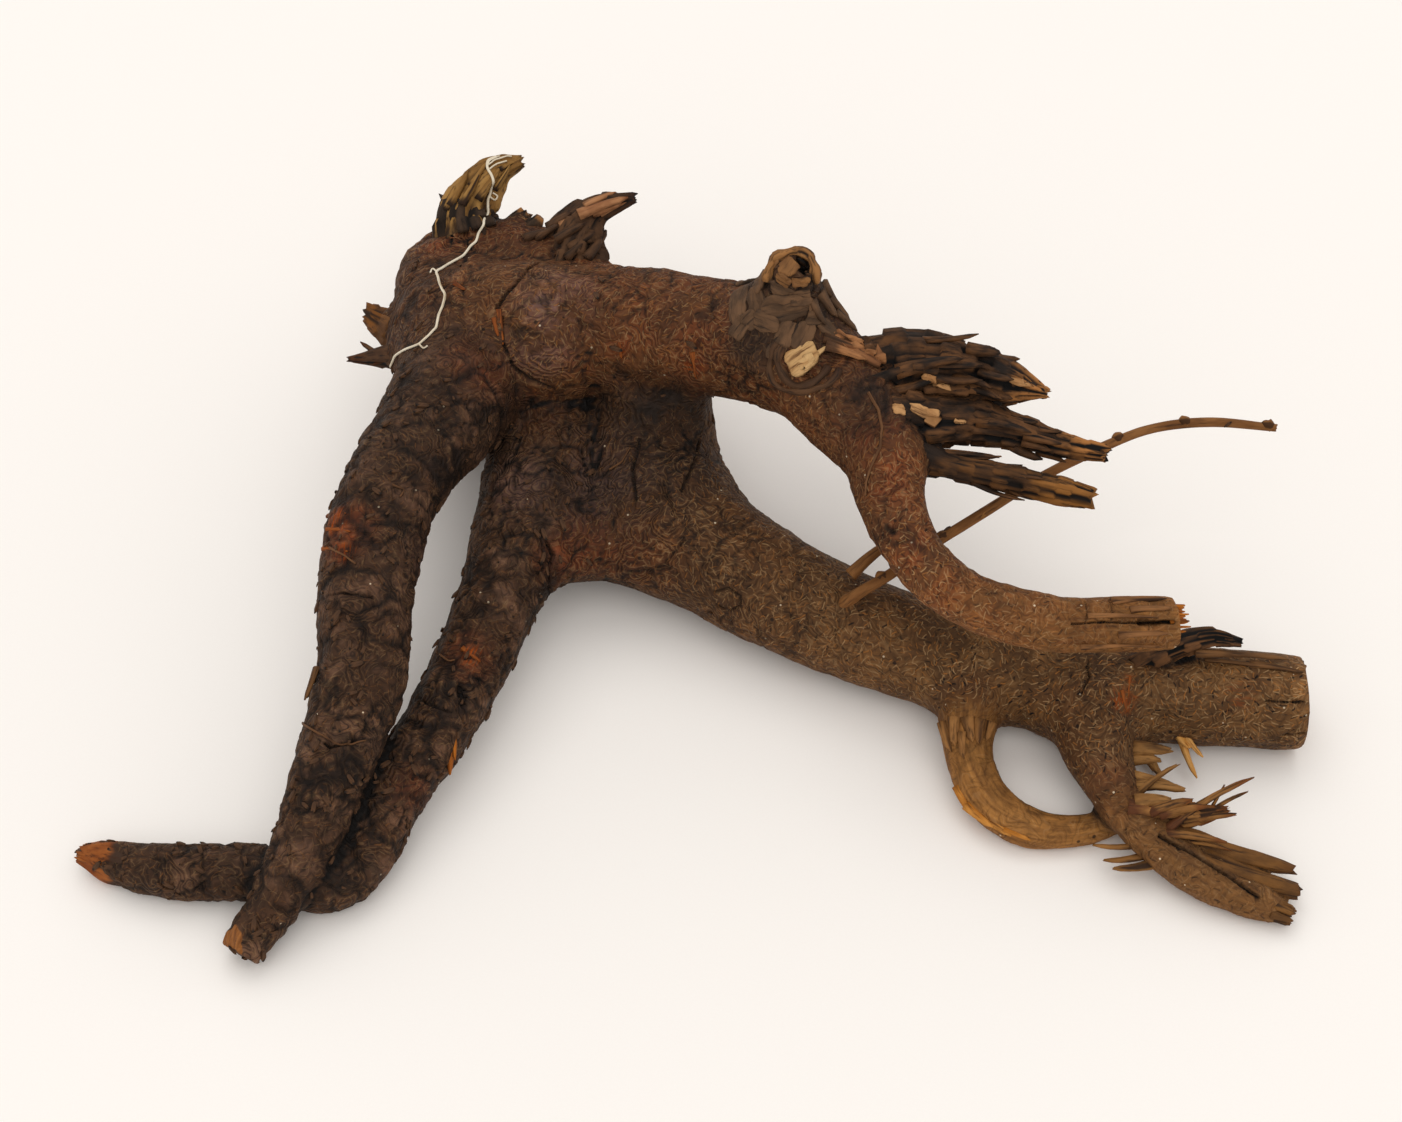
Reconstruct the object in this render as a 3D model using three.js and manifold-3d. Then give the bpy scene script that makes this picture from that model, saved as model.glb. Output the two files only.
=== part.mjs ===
// A piece of driftwood: the crown of an old root with two legs, two stems, a charred fan of
// splinters and a few thin roots, grown as one piece and lying on its worn underside.
// A fine pale rootlet lies loose over the crown. Millimetres, +Z up, origin under the middle.

import * as THREE from 'three';
import { mergeVertices } from 'three/addons/utils/BufferGeometryUtils.js';
import Module from 'manifold-3d';

// Driving dimensions
const LENGTH = 660.4;
const DEPTH = 482.6;
const HEIGHT = 203.2;
const SAWN_END_X = LENGTH / 2;
const RING_STEP = 16;
const THICK_SIDES = 12;
const THIN_SIDES = 8;
const THIN_RADIUS = 12;
const KNOBBLE_LENGTH = 22;
const KNOBBLES = [
  { lobes: 2, twist: 0.8, height: 0.042 },
  { lobes: 3, twist: -1, height: 0.028 },
];
const CUTTER_SIZE = 1000;
const ROOTLET_RADIUS = 0.8;
const ROOTLET_STEP = 3;
const ROOTLET_LIFT = 2.2;

const wasm = await Module();
wasm.setup();

// Each limb is a row of stations [x, y, z, radius] from its root to its tip, read from the piece
// as it lies: x to the right, y away from the viewer and z up from the surface that it lies on.
const LIMBS = {
  frontLeg: [
    [-123, 115, 90, 37], [-144, 56, 98.5, 31], [-168, 1, 98.5, 28], [-176, -52, 90, 26],
    [-178, -104, 70, 24], [-194, -156, 47, 20], [-212, -200, 26, 16], [-235, -235, 9.5, 11],
  ],
  middleLeg: [
    [-114, 124, 74, 35], [-79, 111, 54, 38], [-83, 72, 50, 38], [-97, 15, 48, 30],
    [-110, -29, 44, 23], [-132, -90, 36, 21], [-161, -147, 26, 17.5], [-172, -174, 18, 16.5],
    [-186, -191, 14.5, 16], [-204, -194, 14.5, 16], [-228, -189, 15, 16.5], [-282, -185, 13, 14.5],
    [-302, -180, 12, 12.5], [-318, -176, 12, 9], [-330, -174, 12, 3],
  ],
  mainStem: [
    [-108, 132, 74, 35], [-49, 127, 50, 39], [-37, 84, 44, 44], [-15, 36, 42, 42],
    [16, 6, 39, 35], [61, -23, 35, 31], [107, -45, 31, 29], [169, -66, 27, 27],
    [224, -77, 25.5, 27], [279, -80, 25, 26.5], [353, -86, 24, 25.5],
  ],
  upperStem: [
    [-124, 128, 90, 46], [-86, 121, 101.5, 43], [-53, 118, 111.5, 36], [-25, 109, 119.5, 34],
    [3, 98, 126.5, 33], [32, 84, 132.5, 33], [61, 65, 136.5, 32], [85, 31, 135.5, 28],
    [100, 3, 131.5, 22.5], [103, -24, 127.5, 18.5], [109, -46, 123.5, 17], [119, -64, 119.5, 15.5],
    [134, -78, 114.5, 14.5], [158, -89, 109.5, 15], [189, -93, 104.5, 15], [220, -90, 100.5, 14.5],
    [251, -86, 96.5, 14.5],
  ],
  crown: [[-150, 205, 84, 16], [-148, 176, 85, 27], [-139, 135, 88, 39], [-138, 89, 93.5, 32],
    [-150, 53, 97.5, 25]],
  crownRidge: [[-158, 197, 80, 20], [-119, 187, 90, 27], [-82, 172, 99.5, 25], [-54, 150, 107.5, 16]],
  crotch: [[-101, 6, 44, 19], [-81, 16, 44, 24], [-54, 21, 43, 27], [-10, 24, 42, 32]],
  throat: [[-22, 96, 97.5, 30], [-24, 91, 72, 33], [-30, 82, 44, 37]],
  crownHeart: [[-148, 159, 72, 24], [-115, 157, 74, 28], [-81, 141, 82, 30]],
  crownHeel: [[-131, 137, 80, 35], [-133, 135, 50, 32], [-140, 140, 22, 27], [-145, 153, -4, 23]],
  horn: [[-133, 199, 99.5, 23], [-135, 212, 109.5, 18], [-129, 223, 118.5, 15], [-118, 232, 127.5, 10.5],
    [-105, 233, 133.5, 4]],
  spike: [[-74, 167, 109.5, 20], [-69, 182, 123.5, 14.5], [-58, 192, 133.5, 8.5], [-37, 194, 141.5, 3.5]],
  crownStub: [[-116, 197, 101.5, 9.5], [-108, 206, 109.5, 7], [-101, 211, 114.5, 4.5]],
  upperThorn: [[-168, 136, 86, 12], [-182, 148, 86, 6.5], [-194, 156, 86, 3.5]],
  lowerThorn: [[-163, 118, 88, 13], [-180, 118, 88, 6.5], [-200, 116, 88, 1.5]],
  knot: [[47, 74, 143.5, 32], [50, 79, 165.5, 25], [52, 80, 185.5, 16], [53, 77, 200.5, 10.5]],
  fanTop: [[91, 46, 139.5, 26], [117, 54, 142.5, 22], [146, 50, 144.5, 19], [170, 42, 144.5, 13],
    [189, 36, 143.5, 3]],
  fanMiddle: [[95, 20, 136.5, 20], [140, 23, 134.5, 13], [167, 18, 133.5, 9.5], [194, 10, 131.5, 7.5],
    [220, 4, 130.5, 3.5]],
  fanLow: [[97, 8, 130.5, 16], [134, -2, 127.5, 7.5], [166, -8, 124.5, 7.5], [193, -14, 122.5, 7],
    [212, -19, 120.5, 3]],
  hookedRoot: [[150, -78, 27, 20], [148, -99, 25, 15.5], [148, -118, 19, 13], [156, -139, 13, 12],
    [173, -153, 10, 11], [197, -157, 8, 9], [222, -152, 8.5, 8], [243, -146, 12, 6]],
  fingerRoot: [[214, -92, 28, 26], [216, -119, 27, 20], [220, -136, 26, 15.5], [229, -155, 24, 13],
    [242, -171, 20, 12], [262, -184, 15, 12.5], [281, -192, 12, 10.5]],
  upperFinger: [[255, -179, 18, 7], [279, -180, 15, 6], [301, -182, 12, 4.5], [314, -184, 11, 2]],
  middleFinger: [[267, -186, 15, 7.5], [289, -192, 12, 6.5], [304, -195, 11, 6], [313, -198, 10, 4.5]],
  lowerFinger: [[267, -189, 12, 9], [286, -199, 8, 8.5], [299, -204, 6.5, 7.5], [309, -208, 6, 3.5]],
  brokenFinger: [[229, -157, 26, 11], [247, -161, 28, 8], [266, -161, 30, 5], [279, -158, 30, 1.5]],
  charredStub: [[239, -76, 46, 9], [257, -71, 56, 7], [278, -68, 62, 5.5], [293, -71, 62, 3]],
  thinRoot: [[75, -41, 48, 6], [86, -42, 66, 3.5], [106, -33, 74, 3], [133, -15, 81, 3],
    [161, 3, 86, 3], [193, 23, 92, 3], [226, 39, 97.5, 3], [254, 49, 101.5, 3],
    [286, 50, 105.5, 3], [321, 44, 107.5, 2.5]],
};

// The rootlet's way over the crown, [x, y], from the horn down to the left thorns.
const ROOTLET_WAY = [
  [-121, 224], [-127, 216], [-125, 204], [-124, 194], [-124, 185], [-128, 178], [-139, 171],
  [-148, 163], [-148, 151], [-149, 141], [-151, 132], [-156, 124], [-161, 118],
];

// A closed tube along the stations, with a mildly knobbly section that turns along the limb.
function limbGeometry(stations) {
  const centre = new THREE.CatmullRomCurve3(stations.map(([x, y, z]) => new THREE.Vector3(x, y, z)));
  const girth = new THREE.SplineCurve(stations.map(([, , , radius], i) => new THREE.Vector2(i, radius)));
  const thickest = Math.max(...stations.map(([, , , radius]) => radius));
  const sides = thickest < THIN_RADIUS ? THIN_SIDES : THICK_SIDES;
  const length = centre.getLength();
  const rings = Math.max(stations.length, Math.ceil(length / RING_STEP));

  const frames = [];
  const side = new THREE.Vector3(0, 0, 1);
  for (let ring = 0; ring <= rings; ring += 1) {
    const along = centre.getTangent(ring / rings);
    side.addScaledVector(along, -side.dot(along)).normalize();
    frames.push({
      point: centre.getPoint(ring / rings),
      up: side.clone(),
      across: side.clone().cross(along),
    });
  }

  const geometry = new THREE.CylinderGeometry(1, 1, 1, sides, rings);
  const position = geometry.attributes.position;
  for (let i = 0; i < position.count; i += 1) {
    const share = position.getY(i) + 0.5;
    const { point, up, across } = frames[Math.round(share * rings)];
    const turn = Math.atan2(position.getZ(i), position.getX(i));
    const gone = share * length / KNOBBLE_LENGTH;
    const knobble = KNOBBLES.reduce(
      (sum, { lobes, twist, height }) => sum + height * Math.sin(lobes * turn + twist * gone),
      1,
    );
    const radius = girth.getPoint(share).y * knobble;
    const vertex = point.clone()
      .addScaledVector(up, radius * position.getX(i))
      .addScaledVector(across, radius * position.getZ(i));
    position.setXYZ(i, vertex.x, vertex.y, vertex.z);
  }
  return geometry;
}

function solidOf(geometry) {
  geometry.deleteAttribute('normal');
  geometry.deleteAttribute('uv');
  const merged = mergeVertices(geometry);
  return new wasm.Manifold(new wasm.Mesh({
    numProp: 3,
    vertProperties: new Float32Array(merged.attributes.position.array),
    triVerts: new Uint32Array(merged.index.array),
  }));
}

function geometryOf(solid) {
  const { vertProperties, triVerts } = solid.getMesh();
  const geometry = new THREE.BufferGeometry();
  geometry.setAttribute('position', new THREE.BufferAttribute(vertProperties, 3));
  geometry.setIndex(new THREE.BufferAttribute(triVerts, 1));
  return geometry;
}

// All limbs joined, worn flat where they meet the surface below and sawn off square on the right.
function driftwoodGeometry() {
  const grown = Object.values(LIMBS)
    .map((stations) => solidOf(limbGeometry(stations)))
    .reduce((whole, part) => whole.add(part));
  const below = new THREE.BoxGeometry(CUTTER_SIZE, CUTTER_SIZE, CUTTER_SIZE);
  below.translate(0, 0, -CUTTER_SIZE / 2);
  const beyondSaw = new THREE.BoxGeometry(CUTTER_SIZE, CUTTER_SIZE, CUTTER_SIZE);
  beyondSaw.translate(SAWN_END_X + CUTTER_SIZE / 2, 0, 0);
  return geometryOf(grown.subtract(solidOf(below)).subtract(solidOf(beyondSaw)));
}

// The rootlet drops onto the crown from above at even steps, and rests just clear of the wood.
function rootletGeometry(wood) {
  const way = new THREE.CatmullRomCurve3(ROOTLET_WAY.map(([x, y]) => new THREE.Vector3(x, y, HEIGHT)));
  const steps = Math.round(way.getLength() / ROOTLET_STEP);
  const down = new THREE.Vector3(0, 0, -1);
  const resting = way.getSpacedPoints(steps).map((above) => {
    const [hit] = new THREE.Raycaster(above, down).intersectObject(wood);
    return hit.point.clone().addScaledVector(hit.face.normal, ROOTLET_RADIUS + ROOTLET_LIFT);
  });
  const section = new THREE.Shape();
  section.absarc(0, 0, ROOTLET_RADIUS, 0, 2 * Math.PI);
  const extrudePath = new THREE.CatmullRomCurve3(resting);
  return new THREE.ExtrudeGeometry(section, { steps: 2 * steps, curveSegments: 2, extrudePath });
}

const driftwood = new THREE.Mesh(
  driftwoodGeometry(),
  new THREE.MeshStandardMaterial({ color: 0x4a3626, roughness: 0.85, metalness: 0 }),
);
driftwood.name = 'driftwood';

const paleRootlet = new THREE.Mesh(
  rootletGeometry(driftwood),
  new THREE.MeshStandardMaterial({ color: 0xd9cdb8, roughness: 0.7, metalness: 0 }),
);
paleRootlet.name = 'pale_rootlet';

// The stations are drawn to a fraction of a percent, and the piece is brought to its measured size here.
driftwood.geometry.computeBoundingBox();
const drawn = driftwood.geometry.boundingBox;
const drawnSize = drawn.getSize(new THREE.Vector3());
const drawnMiddle = drawn.getCenter(new THREE.Vector3());
const fit = new THREE.Vector3(LENGTH, DEPTH, HEIGHT).divide(drawnSize);

const part = new THREE.Group();
part.name = 'driftwood_piece';
part.scale.copy(fit);
part.position.set(-drawnMiddle.x * fit.x, -drawnMiddle.y * fit.y, 0);
part.add(driftwood, paleRootlet);

export default part;
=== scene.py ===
import math
import random

import bmesh
import bpy
import numpy as np
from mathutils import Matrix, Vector, noise
from mathutils.bvhtree import BVHTree


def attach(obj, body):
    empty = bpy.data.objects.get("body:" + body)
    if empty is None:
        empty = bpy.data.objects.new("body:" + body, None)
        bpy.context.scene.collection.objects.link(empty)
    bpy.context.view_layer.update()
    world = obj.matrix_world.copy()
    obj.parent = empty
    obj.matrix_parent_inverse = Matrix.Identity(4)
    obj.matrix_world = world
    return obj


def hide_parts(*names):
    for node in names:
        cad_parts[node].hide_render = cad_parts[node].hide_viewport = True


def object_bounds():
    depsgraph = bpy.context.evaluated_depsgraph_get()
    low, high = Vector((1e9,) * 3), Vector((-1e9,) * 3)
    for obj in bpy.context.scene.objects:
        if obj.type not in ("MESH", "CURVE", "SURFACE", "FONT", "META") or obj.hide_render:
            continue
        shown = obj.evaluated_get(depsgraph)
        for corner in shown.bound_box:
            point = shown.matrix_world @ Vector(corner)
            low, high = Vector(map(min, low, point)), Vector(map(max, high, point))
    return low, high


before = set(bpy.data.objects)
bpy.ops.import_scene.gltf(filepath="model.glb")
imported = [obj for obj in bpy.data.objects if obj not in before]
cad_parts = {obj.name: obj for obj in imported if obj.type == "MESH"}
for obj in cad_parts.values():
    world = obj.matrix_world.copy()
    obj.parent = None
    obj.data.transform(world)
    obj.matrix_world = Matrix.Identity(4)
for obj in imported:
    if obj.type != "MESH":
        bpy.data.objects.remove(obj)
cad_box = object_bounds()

# The view: the piece lies on a table, seen from in front and fifty degrees above the table.
# A place written as (across, down) below is a pixel of that view, and is found by looking
# from here along the pixel to the wood.
VIEW_WIDTH = 1402
VIEW_HEIGHT = 1122
VIEW_LENS = 70
VIEW_SENSOR = 36
VIEW_TARGET = Vector((0.0025, -0.022, 0.0715))
VIEW_DISTANCE = 1.494
VIEW_ELEVATION = math.radians(50)

view_from = VIEW_TARGET + VIEW_DISTANCE * Vector((0, -math.cos(VIEW_ELEVATION), math.sin(VIEW_ELEVATION)))
view_turn = (VIEW_TARGET - view_from).to_track_quat("-Z", "Y")
camera_data = bpy.data.cameras.new("table_view")
camera_data.lens = VIEW_LENS
camera_data.sensor_width = VIEW_SENSOR
camera = bpy.data.objects.new("table_view", camera_data)
camera.location = view_from
camera.rotation_euler = view_turn.to_euler()
bpy.context.scene.collection.objects.link(camera)
bpy.context.scene.camera = camera


def sight(across, down):
    """The direction from the camera through a pixel of the view."""
    size = VIEW_SENSOR / VIEW_WIDTH
    x = (across - VIEW_WIDTH / 2) * size
    y = (VIEW_HEIGHT / 2 - down) * size
    return (view_turn @ Vector((x, y, -VIEW_LENS))).normalized()


# The wood: an old root crown with two legs, two stems and thinner roots, all grown as one piece.
# It is dense weathered wood, still in its bark for the most part, worn flat where it lies and
# sawn off square at the right end of the main stem.
MM = 0.001
SAWN_END = cad_box[1][0]
VOXEL = 2.5 * MM

# Each limb's stations are [x, y, z, radius] in millimetres, from its root to its tip.
LIMBS = {
    "frontLeg": [
        [-123, 115, 90, 37], [-144, 56, 98.5, 31], [-168, 1, 98.5, 28], [-176, -52, 90, 26],
        [-178, -104, 70, 24], [-194, -156, 47, 20], [-212, -200, 26, 16], [-235, -235, 9.5, 11]],
    "middleLeg": [
        [-114, 124, 74, 35], [-79, 111, 54, 38], [-83, 72, 50, 38], [-97, 15, 48, 30],
        [-110, -29, 44, 23], [-132, -90, 36, 21], [-161, -147, 26, 17.5], [-172, -174, 18, 16.5],
        [-186, -191, 14.5, 16], [-204, -194, 14.5, 16], [-228, -189, 15, 16.5], [-282, -185, 13, 14.5],
        [-302, -180, 12, 12.5], [-318, -176, 12, 9], [-330, -174, 12, 3]],
    "mainStem": [
        [-108, 132, 74, 35], [-49, 127, 50, 39], [-37, 84, 44, 44], [-15, 36, 42, 42],
        [16, 6, 39, 35], [61, -23, 35, 31], [107, -45, 31, 29], [169, -66, 27, 27],
        [224, -77, 25.5, 27], [279, -80, 25, 26.5], [353, -86, 24, 25.5]],
    "upperStem": [
        [-124, 128, 90, 46], [-86, 121, 101.5, 43], [-53, 118, 111.5, 36], [-25, 109, 119.5, 34],
        [3, 98, 126.5, 33], [32, 84, 132.5, 33], [61, 65, 136.5, 32], [85, 31, 135.5, 28],
        [100, 3, 131.5, 22.5], [103, -24, 127.5, 18.5], [109, -46, 123.5, 17], [119, -64, 119.5, 15.5],
        [134, -78, 114.5, 14.5], [158, -89, 109.5, 15], [189, -93, 104.5, 15], [220, -90, 100.5, 14.5],
        [251, -86, 96.5, 14.5]],
    "crown": [
        [-150, 205, 84, 16], [-148, 176, 85, 27], [-139, 135, 88, 39], [-138, 89, 93.5, 32],
        [-150, 53, 97.5, 25]],
    "crownRidge": [[-158, 197, 80, 20], [-119, 187, 90, 27], [-82, 172, 99.5, 25], [-54, 150, 107.5, 16]],
    "crotch": [[-101, 6, 44, 19], [-81, 16, 44, 24], [-54, 21, 43, 27], [-10, 24, 42, 32]],
    "throat": [[-22, 96, 97.5, 30], [-24, 91, 72, 33], [-30, 82, 44, 37]],
    "crownLobe": [[-146, 166, 86, 26], [-147, 181, 90, 24], [-147, 192, 93, 21.5]],
    "crownHeart": [[-148, 159, 72, 24], [-115, 157, 74, 28], [-81, 141, 82, 30]],
    "crownHeel": [[-131, 137, 80, 35], [-133, 135, 50, 32], [-140, 140, 22, 27], [-145, 153, -4, 23]],
    "knot": [[47, 74, 143.5, 32], [50, 79, 165.5, 25], [52, 80, 185.5, 16], [53, 77, 200.5, 10.5]],
    "hookedRoot": [
        [150, -78, 27, 20], [148, -99, 25, 15.5], [148, -118, 19, 13], [156, -139, 13, 12],
        [173, -153, 10, 11], [197, -157, 8, 9], [222, -152, 8.5, 8], [243, -146, 12, 6]],
    "fingerRoot": [
        [214, -92, 28, 26], [216, -119, 27, 20], [220, -136, 26, 15.5], [229, -155, 24, 13],
        [243, -172, 19.5, 12], [262, -187, 14, 11.5],
        [281, -198, 11, 10], [297, -205, 9.5, 9], [309, -210, 8, 6.5]],
    "horn": [
        [-133, 199, 99.5, 23], [-135, 212, 109.5, 18], [-129, 223, 118.5, 15], [-118, 232, 127.5, 10.5],
        [-105, 233, 133.5, 4]],
    "spike": [[-74, 167, 109.5, 20], [-69, 182, 123.5, 14.5], [-58, 192, 133.5, 8.5], [-37, 194, 141.5, 3.5]],
    "crownStub": [[-116, 197, 101.5, 9.5], [-108, 206, 109.5, 7], [-101, 211, 114.5, 4.5]],
    "upperThorn": [[-168, 136, 86, 12], [-182, 148, 86, 8], [-192, 155, 86, 5.5]],
    "lowerThorn": [[-163, 118, 88, 13], [-180, 118, 88, 6.5], [-200, 116, 88, 1.5]],
    "fanTop": [
        [91, 46, 139.5, 26], [117, 54, 142.5, 22], [146, 50, 144.5, 19], [170, 42, 144.5, 13],
        [189, 36, 143.5, 3]],
    "fanMiddle": [
        [95, 20, 136.5, 20], [140, 23, 134.5, 13], [167, 18, 133.5, 9.5], [194, 10, 131.5, 7.5],
        [219, 4, 130.5, 5]],
    "fanLow": [
        [97, 8, 130.5, 16], [134, -2, 127.5, 7.5], [166, -8, 124.5, 7.5], [193, -14, 122.5, 7.5],
        [212, -19, 120.5, 5.5]],
    "upperFinger": [
        [246, -166, 23, 4.5], [262, -172, 20, 6.5], [280, -177, 16, 5.5], [301, -181, 12.5, 4.5],
        [315, -184, 11, 2.5]],
    "middleFinger": [
        [252, -175, 20, 5.5], [268, -184, 16.5, 7.5], [290, -191, 13, 6.5], [304, -194.5, 11, 6],
        [315, -197, 10, 4.5]],
    "brokenFinger": [[229, -157, 26, 11], [247, -161, 28, 8], [266, -161, 30, 5], [279, -158, 30, 1.5]],
    "charredStub": [[239, -76, 46, 9], [257, -71, 56, 7], [278, -68, 62, 5.5], [293, -71, 62, 3]],
    "thinRoot": [
        [75, -41, 48, 6], [86, -42, 66, 3.4], [106, -33, 74, 3], [133, -15, 81, 3],
        [161, 3, 86, 2.8], [193, 23, 92, 2.8], [226, 39, 97.5, 2.8], [254, 49, 101.5, 2.6],
        [286, 50, 105.5, 2.6], [321, 44, 107.5, 2.2]],
}

# These limbs are bare, torn or charred and have a section of their own further down.
# The wood body holds only a thinner core of them, so that each stays joined to it.
TORN_LIMBS = [
    "horn", "spike", "crownStub", "upperThorn", "lowerThorn", "fanTop", "fanMiddle", "fanLow",
    "upperFinger", "middleFinger", "brokenFinger", "charredStub", "thinRoot"]
TORN_CORE = 0.6
WEB_LIMBS = ["crown", "crownRidge", "crownLobe", "crotch", "throat", "crownHeart", "crownHeel", "knot"]
JOIN_BLEND = 15 * MM
LIMB_BLEND = 2 * MM
JOIN_LENGTH = 70 * MM
REACH = 30 * MM
WAY_CUTS = 6
CLOSE_STEPS = 4


class LimbWay:
    """A smooth way through a limb's stations, with its radii, lengths and turning axes."""

    def __init__(self, stations):
        rows = np.array(stations, float) * MM
        ends = np.vstack([2 * rows[0] - rows[1], rows, 2 * rows[-1] - rows[-2]])
        share = (np.arange(WAY_CUTS) / WAY_CUTS)[:, None]
        spans = []
        for a, b, c, d in zip(ends, ends[1:], ends[2:], ends[3:]):
            bend = (2 * a - 5 * b + 4 * c - d) * share ** 2 + (3 * b - a - 3 * c + d) * share ** 3
            spans.append(b + 0.5 * ((c - a) * share + bend))
        way = np.vstack(spans + [rows[-1:]])
        self.places = way[:, :3]
        self.radii = np.maximum(way[:, 3], 0.5 * MM)
        steps = np.diff(self.places, axis=0)
        self.lengths = np.concatenate([[0], np.cumsum(np.linalg.norm(steps, axis=1))])
        tangents = np.gradient(self.places, axis=0)
        self.tangents = tangents / np.linalg.norm(tangents, axis=1)[:, None]
        up = np.array((0.0, 0.0, 1.0))
        ups = []
        for tangent in self.tangents:
            up = up - (up @ tangent) * tangent
            up = up / np.linalg.norm(up)
            ups.append(up)
        self.ups = np.array(ups)
        self.sides = np.cross(self.tangents, self.ups)

    def at(self, rows, where):
        """A row of values at fractional indices along the way."""
        first = np.minimum(where.astype(int), len(rows) - 2)
        share = where - first
        if rows.ndim > 1:
            share = share[:, None]
        return rows[first] * (1 - share) + rows[first + 1] * share

    def nearest(self, points):
        """The fractional index along the way that is nearest to each point."""
        closest = ((self.places ** 2).sum(axis=1) - 2 * points @ self.places.T).argmin(axis=1)
        best = np.full(len(points), np.inf)
        where = np.zeros(len(points))
        for first in (closest - 1, closest):
            first = np.clip(first, 0, len(self.places) - 2)
            start = self.places[first]
            step = self.places[first + 1] - start
            share = np.clip(((points - start) * step).sum(axis=1) / (step ** 2).sum(axis=1), 0, 1)
            apart = ((points - start - share[:, None] * step) ** 2).sum(axis=1)
            closer = apart < best
            best[closer] = apart[closer]
            where[closer] = (first + share)[closer]
        return where


ways = {name: LimbWay(stations) for name, stations in LIMBS.items()}


def limb_field(points, way, core):
    """Height over one limb's skin, with its slope, and each point's place along the limb."""
    where = way.nearest(points)
    offset = points - way.at(way.places, where)
    tangent = way.at(way.tangents, where)
    past = (offset * tangent).sum(axis=1)
    flat = offset - past[:, None] * tangent
    apart = np.linalg.norm(flat, axis=1) + 1e-9
    height = apart - core * way.at(way.radii, where)
    slope = flat / apart[:, None]
    last = len(way.places) - 1
    beyond = np.where(where <= 0, -past, np.where(where >= last, past, -np.inf))
    capped = beyond > height
    height[capped] = beyond[capped]
    slope[capped] = (tangent * np.sign(past)[:, None])[capped]
    return height, slope, where


def wood_field(points):
    """Height over the whole wood's skin, its slope, the limb below and the place along that limb."""
    height = np.full(len(points), 1.0)
    slope = np.zeros((len(points), 3))
    blend = np.full(len(points), LIMB_BLEND)
    lowest = np.full(len(points), np.inf)
    limb_below = np.zeros(len(points), int)
    place_below = np.zeros(len(points))
    for number, (name, way) in enumerate(ways.items()):
        widest = way.radii.max() + REACH
        inside = np.all((points > way.places.min(axis=0) - widest), axis=1)
        inside &= np.all((points < way.places.max(axis=0) + widest), axis=1)
        near = np.nonzero(inside)[0]
        core = TORN_CORE if name in TORN_LIMBS else 1.0
        own, own_slope, where = limb_field(points[near], way, core)
        lower = own < lowest[near]
        lowest[near[lower]] = own[lower]
        limb_below[near[lower]] = number
        place_below[near[lower]] = where[lower]
        fade = np.clip(way.at(way.lengths, where) / JOIN_LENGTH, 0, 1)
        own_blend = JOIN_BLEND + (LIMB_BLEND - JOIN_BLEND) * fade
        if name in WEB_LIMBS:
            own_blend = np.full(len(near), JOIN_BLEND)
        if name in TORN_LIMBS:
            own_blend = np.full(len(near), LIMB_BLEND)
        width = np.maximum(blend[near], own_blend)
        share = np.clip(0.5 + 0.5 * (height[near] - own) / width, 0, 1)
        height[near] += (own - height[near]) * share - width * share * (1 - share)
        slope[near] += (own_slope - slope[near]) * share[:, None]
        blend[near] += (own_blend - blend[near]) * share
    slope /= np.linalg.norm(slope, axis=1)[:, None] + 1e-9
    for depth, out in ((-points[:, 2], (0, 0, -1)), (points[:, 0] - SAWN_END, (1, 0, 0))):
        cut = depth > height
        height[cut] = depth[cut]
        slope[cut] = out
    return height, slope, limb_below, place_below


def plain_mesh(source, name):
    """The evaluated shape of an object as a new plain mesh."""
    shape = source.evaluated_get(bpy.context.evaluated_depsgraph_get())
    mesh = bpy.data.meshes.new_from_object(shape)
    mesh.name = name
    return mesh


def put(name, mesh):
    """A new object at the origin that shows a mesh."""
    thing = bpy.data.objects.new(name, mesh)
    bpy.context.scene.collection.objects.link(thing)
    return thing


def mesh_points(mesh):
    points = np.empty(3 * len(mesh.vertices))
    mesh.vertices.foreach_get("co", points)
    return points.reshape(-1, 3)


def mesh_normals(mesh):
    normals = np.empty(3 * len(mesh.vertices))
    mesh.vertices.foreach_get("normal", normals)
    return normals.reshape(-1, 3)


def set_points(mesh, points):
    mesh.vertices.foreach_set("co", points.ravel())
    mesh.update()


def set_values(mesh, name, values):
    """Stores one number, or one vector, for each point of a mesh."""
    kind = "FLOAT" if values.ndim == 1 else "FLOAT_VECTOR"
    attribute = mesh.attributes.new(name, kind, "POINT")
    attribute.data.foreach_set("value" if values.ndim == 1 else "vector", values.astype(np.float32).ravel())


class Evener:
    """Evens out values over the edges of a mesh."""

    def __init__(self, mesh):
        edges = np.empty(2 * len(mesh.edges), int)
        mesh.edges.foreach_get("vertices", edges)
        self.first, self.second = edges.reshape(-1, 2).T
        self.count = np.bincount(edges, minlength=len(mesh.vertices))

    def __call__(self, values, rounds, strength=0.5):
        values = values.copy()
        columns = values.reshape(len(values), -1)
        for _ in range(rounds):
            for column in columns.T:
                total = np.bincount(self.first, column[self.second], len(self.count))
                total += np.bincount(self.second, column[self.first], len(self.count))
                column += strength * (total / self.count - column)
        return values


def close_to_skin(mesh):
    """Moves a mesh's points onto the smooth skin of the limbs and evens them out."""
    points = mesh_points(mesh)
    for _ in range(CLOSE_STEPS):
        height, slope, _, _ = wood_field(points)
        points -= np.clip(height, -8 * MM, 8 * MM)[:, None] * slope
    points = Evener(mesh)(points, 3)
    points[:, 2] = np.maximum(points[:, 2], 0)
    points[:, 0] = np.minimum(points[:, 0], SAWN_END)
    set_points(mesh, points)


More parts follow.
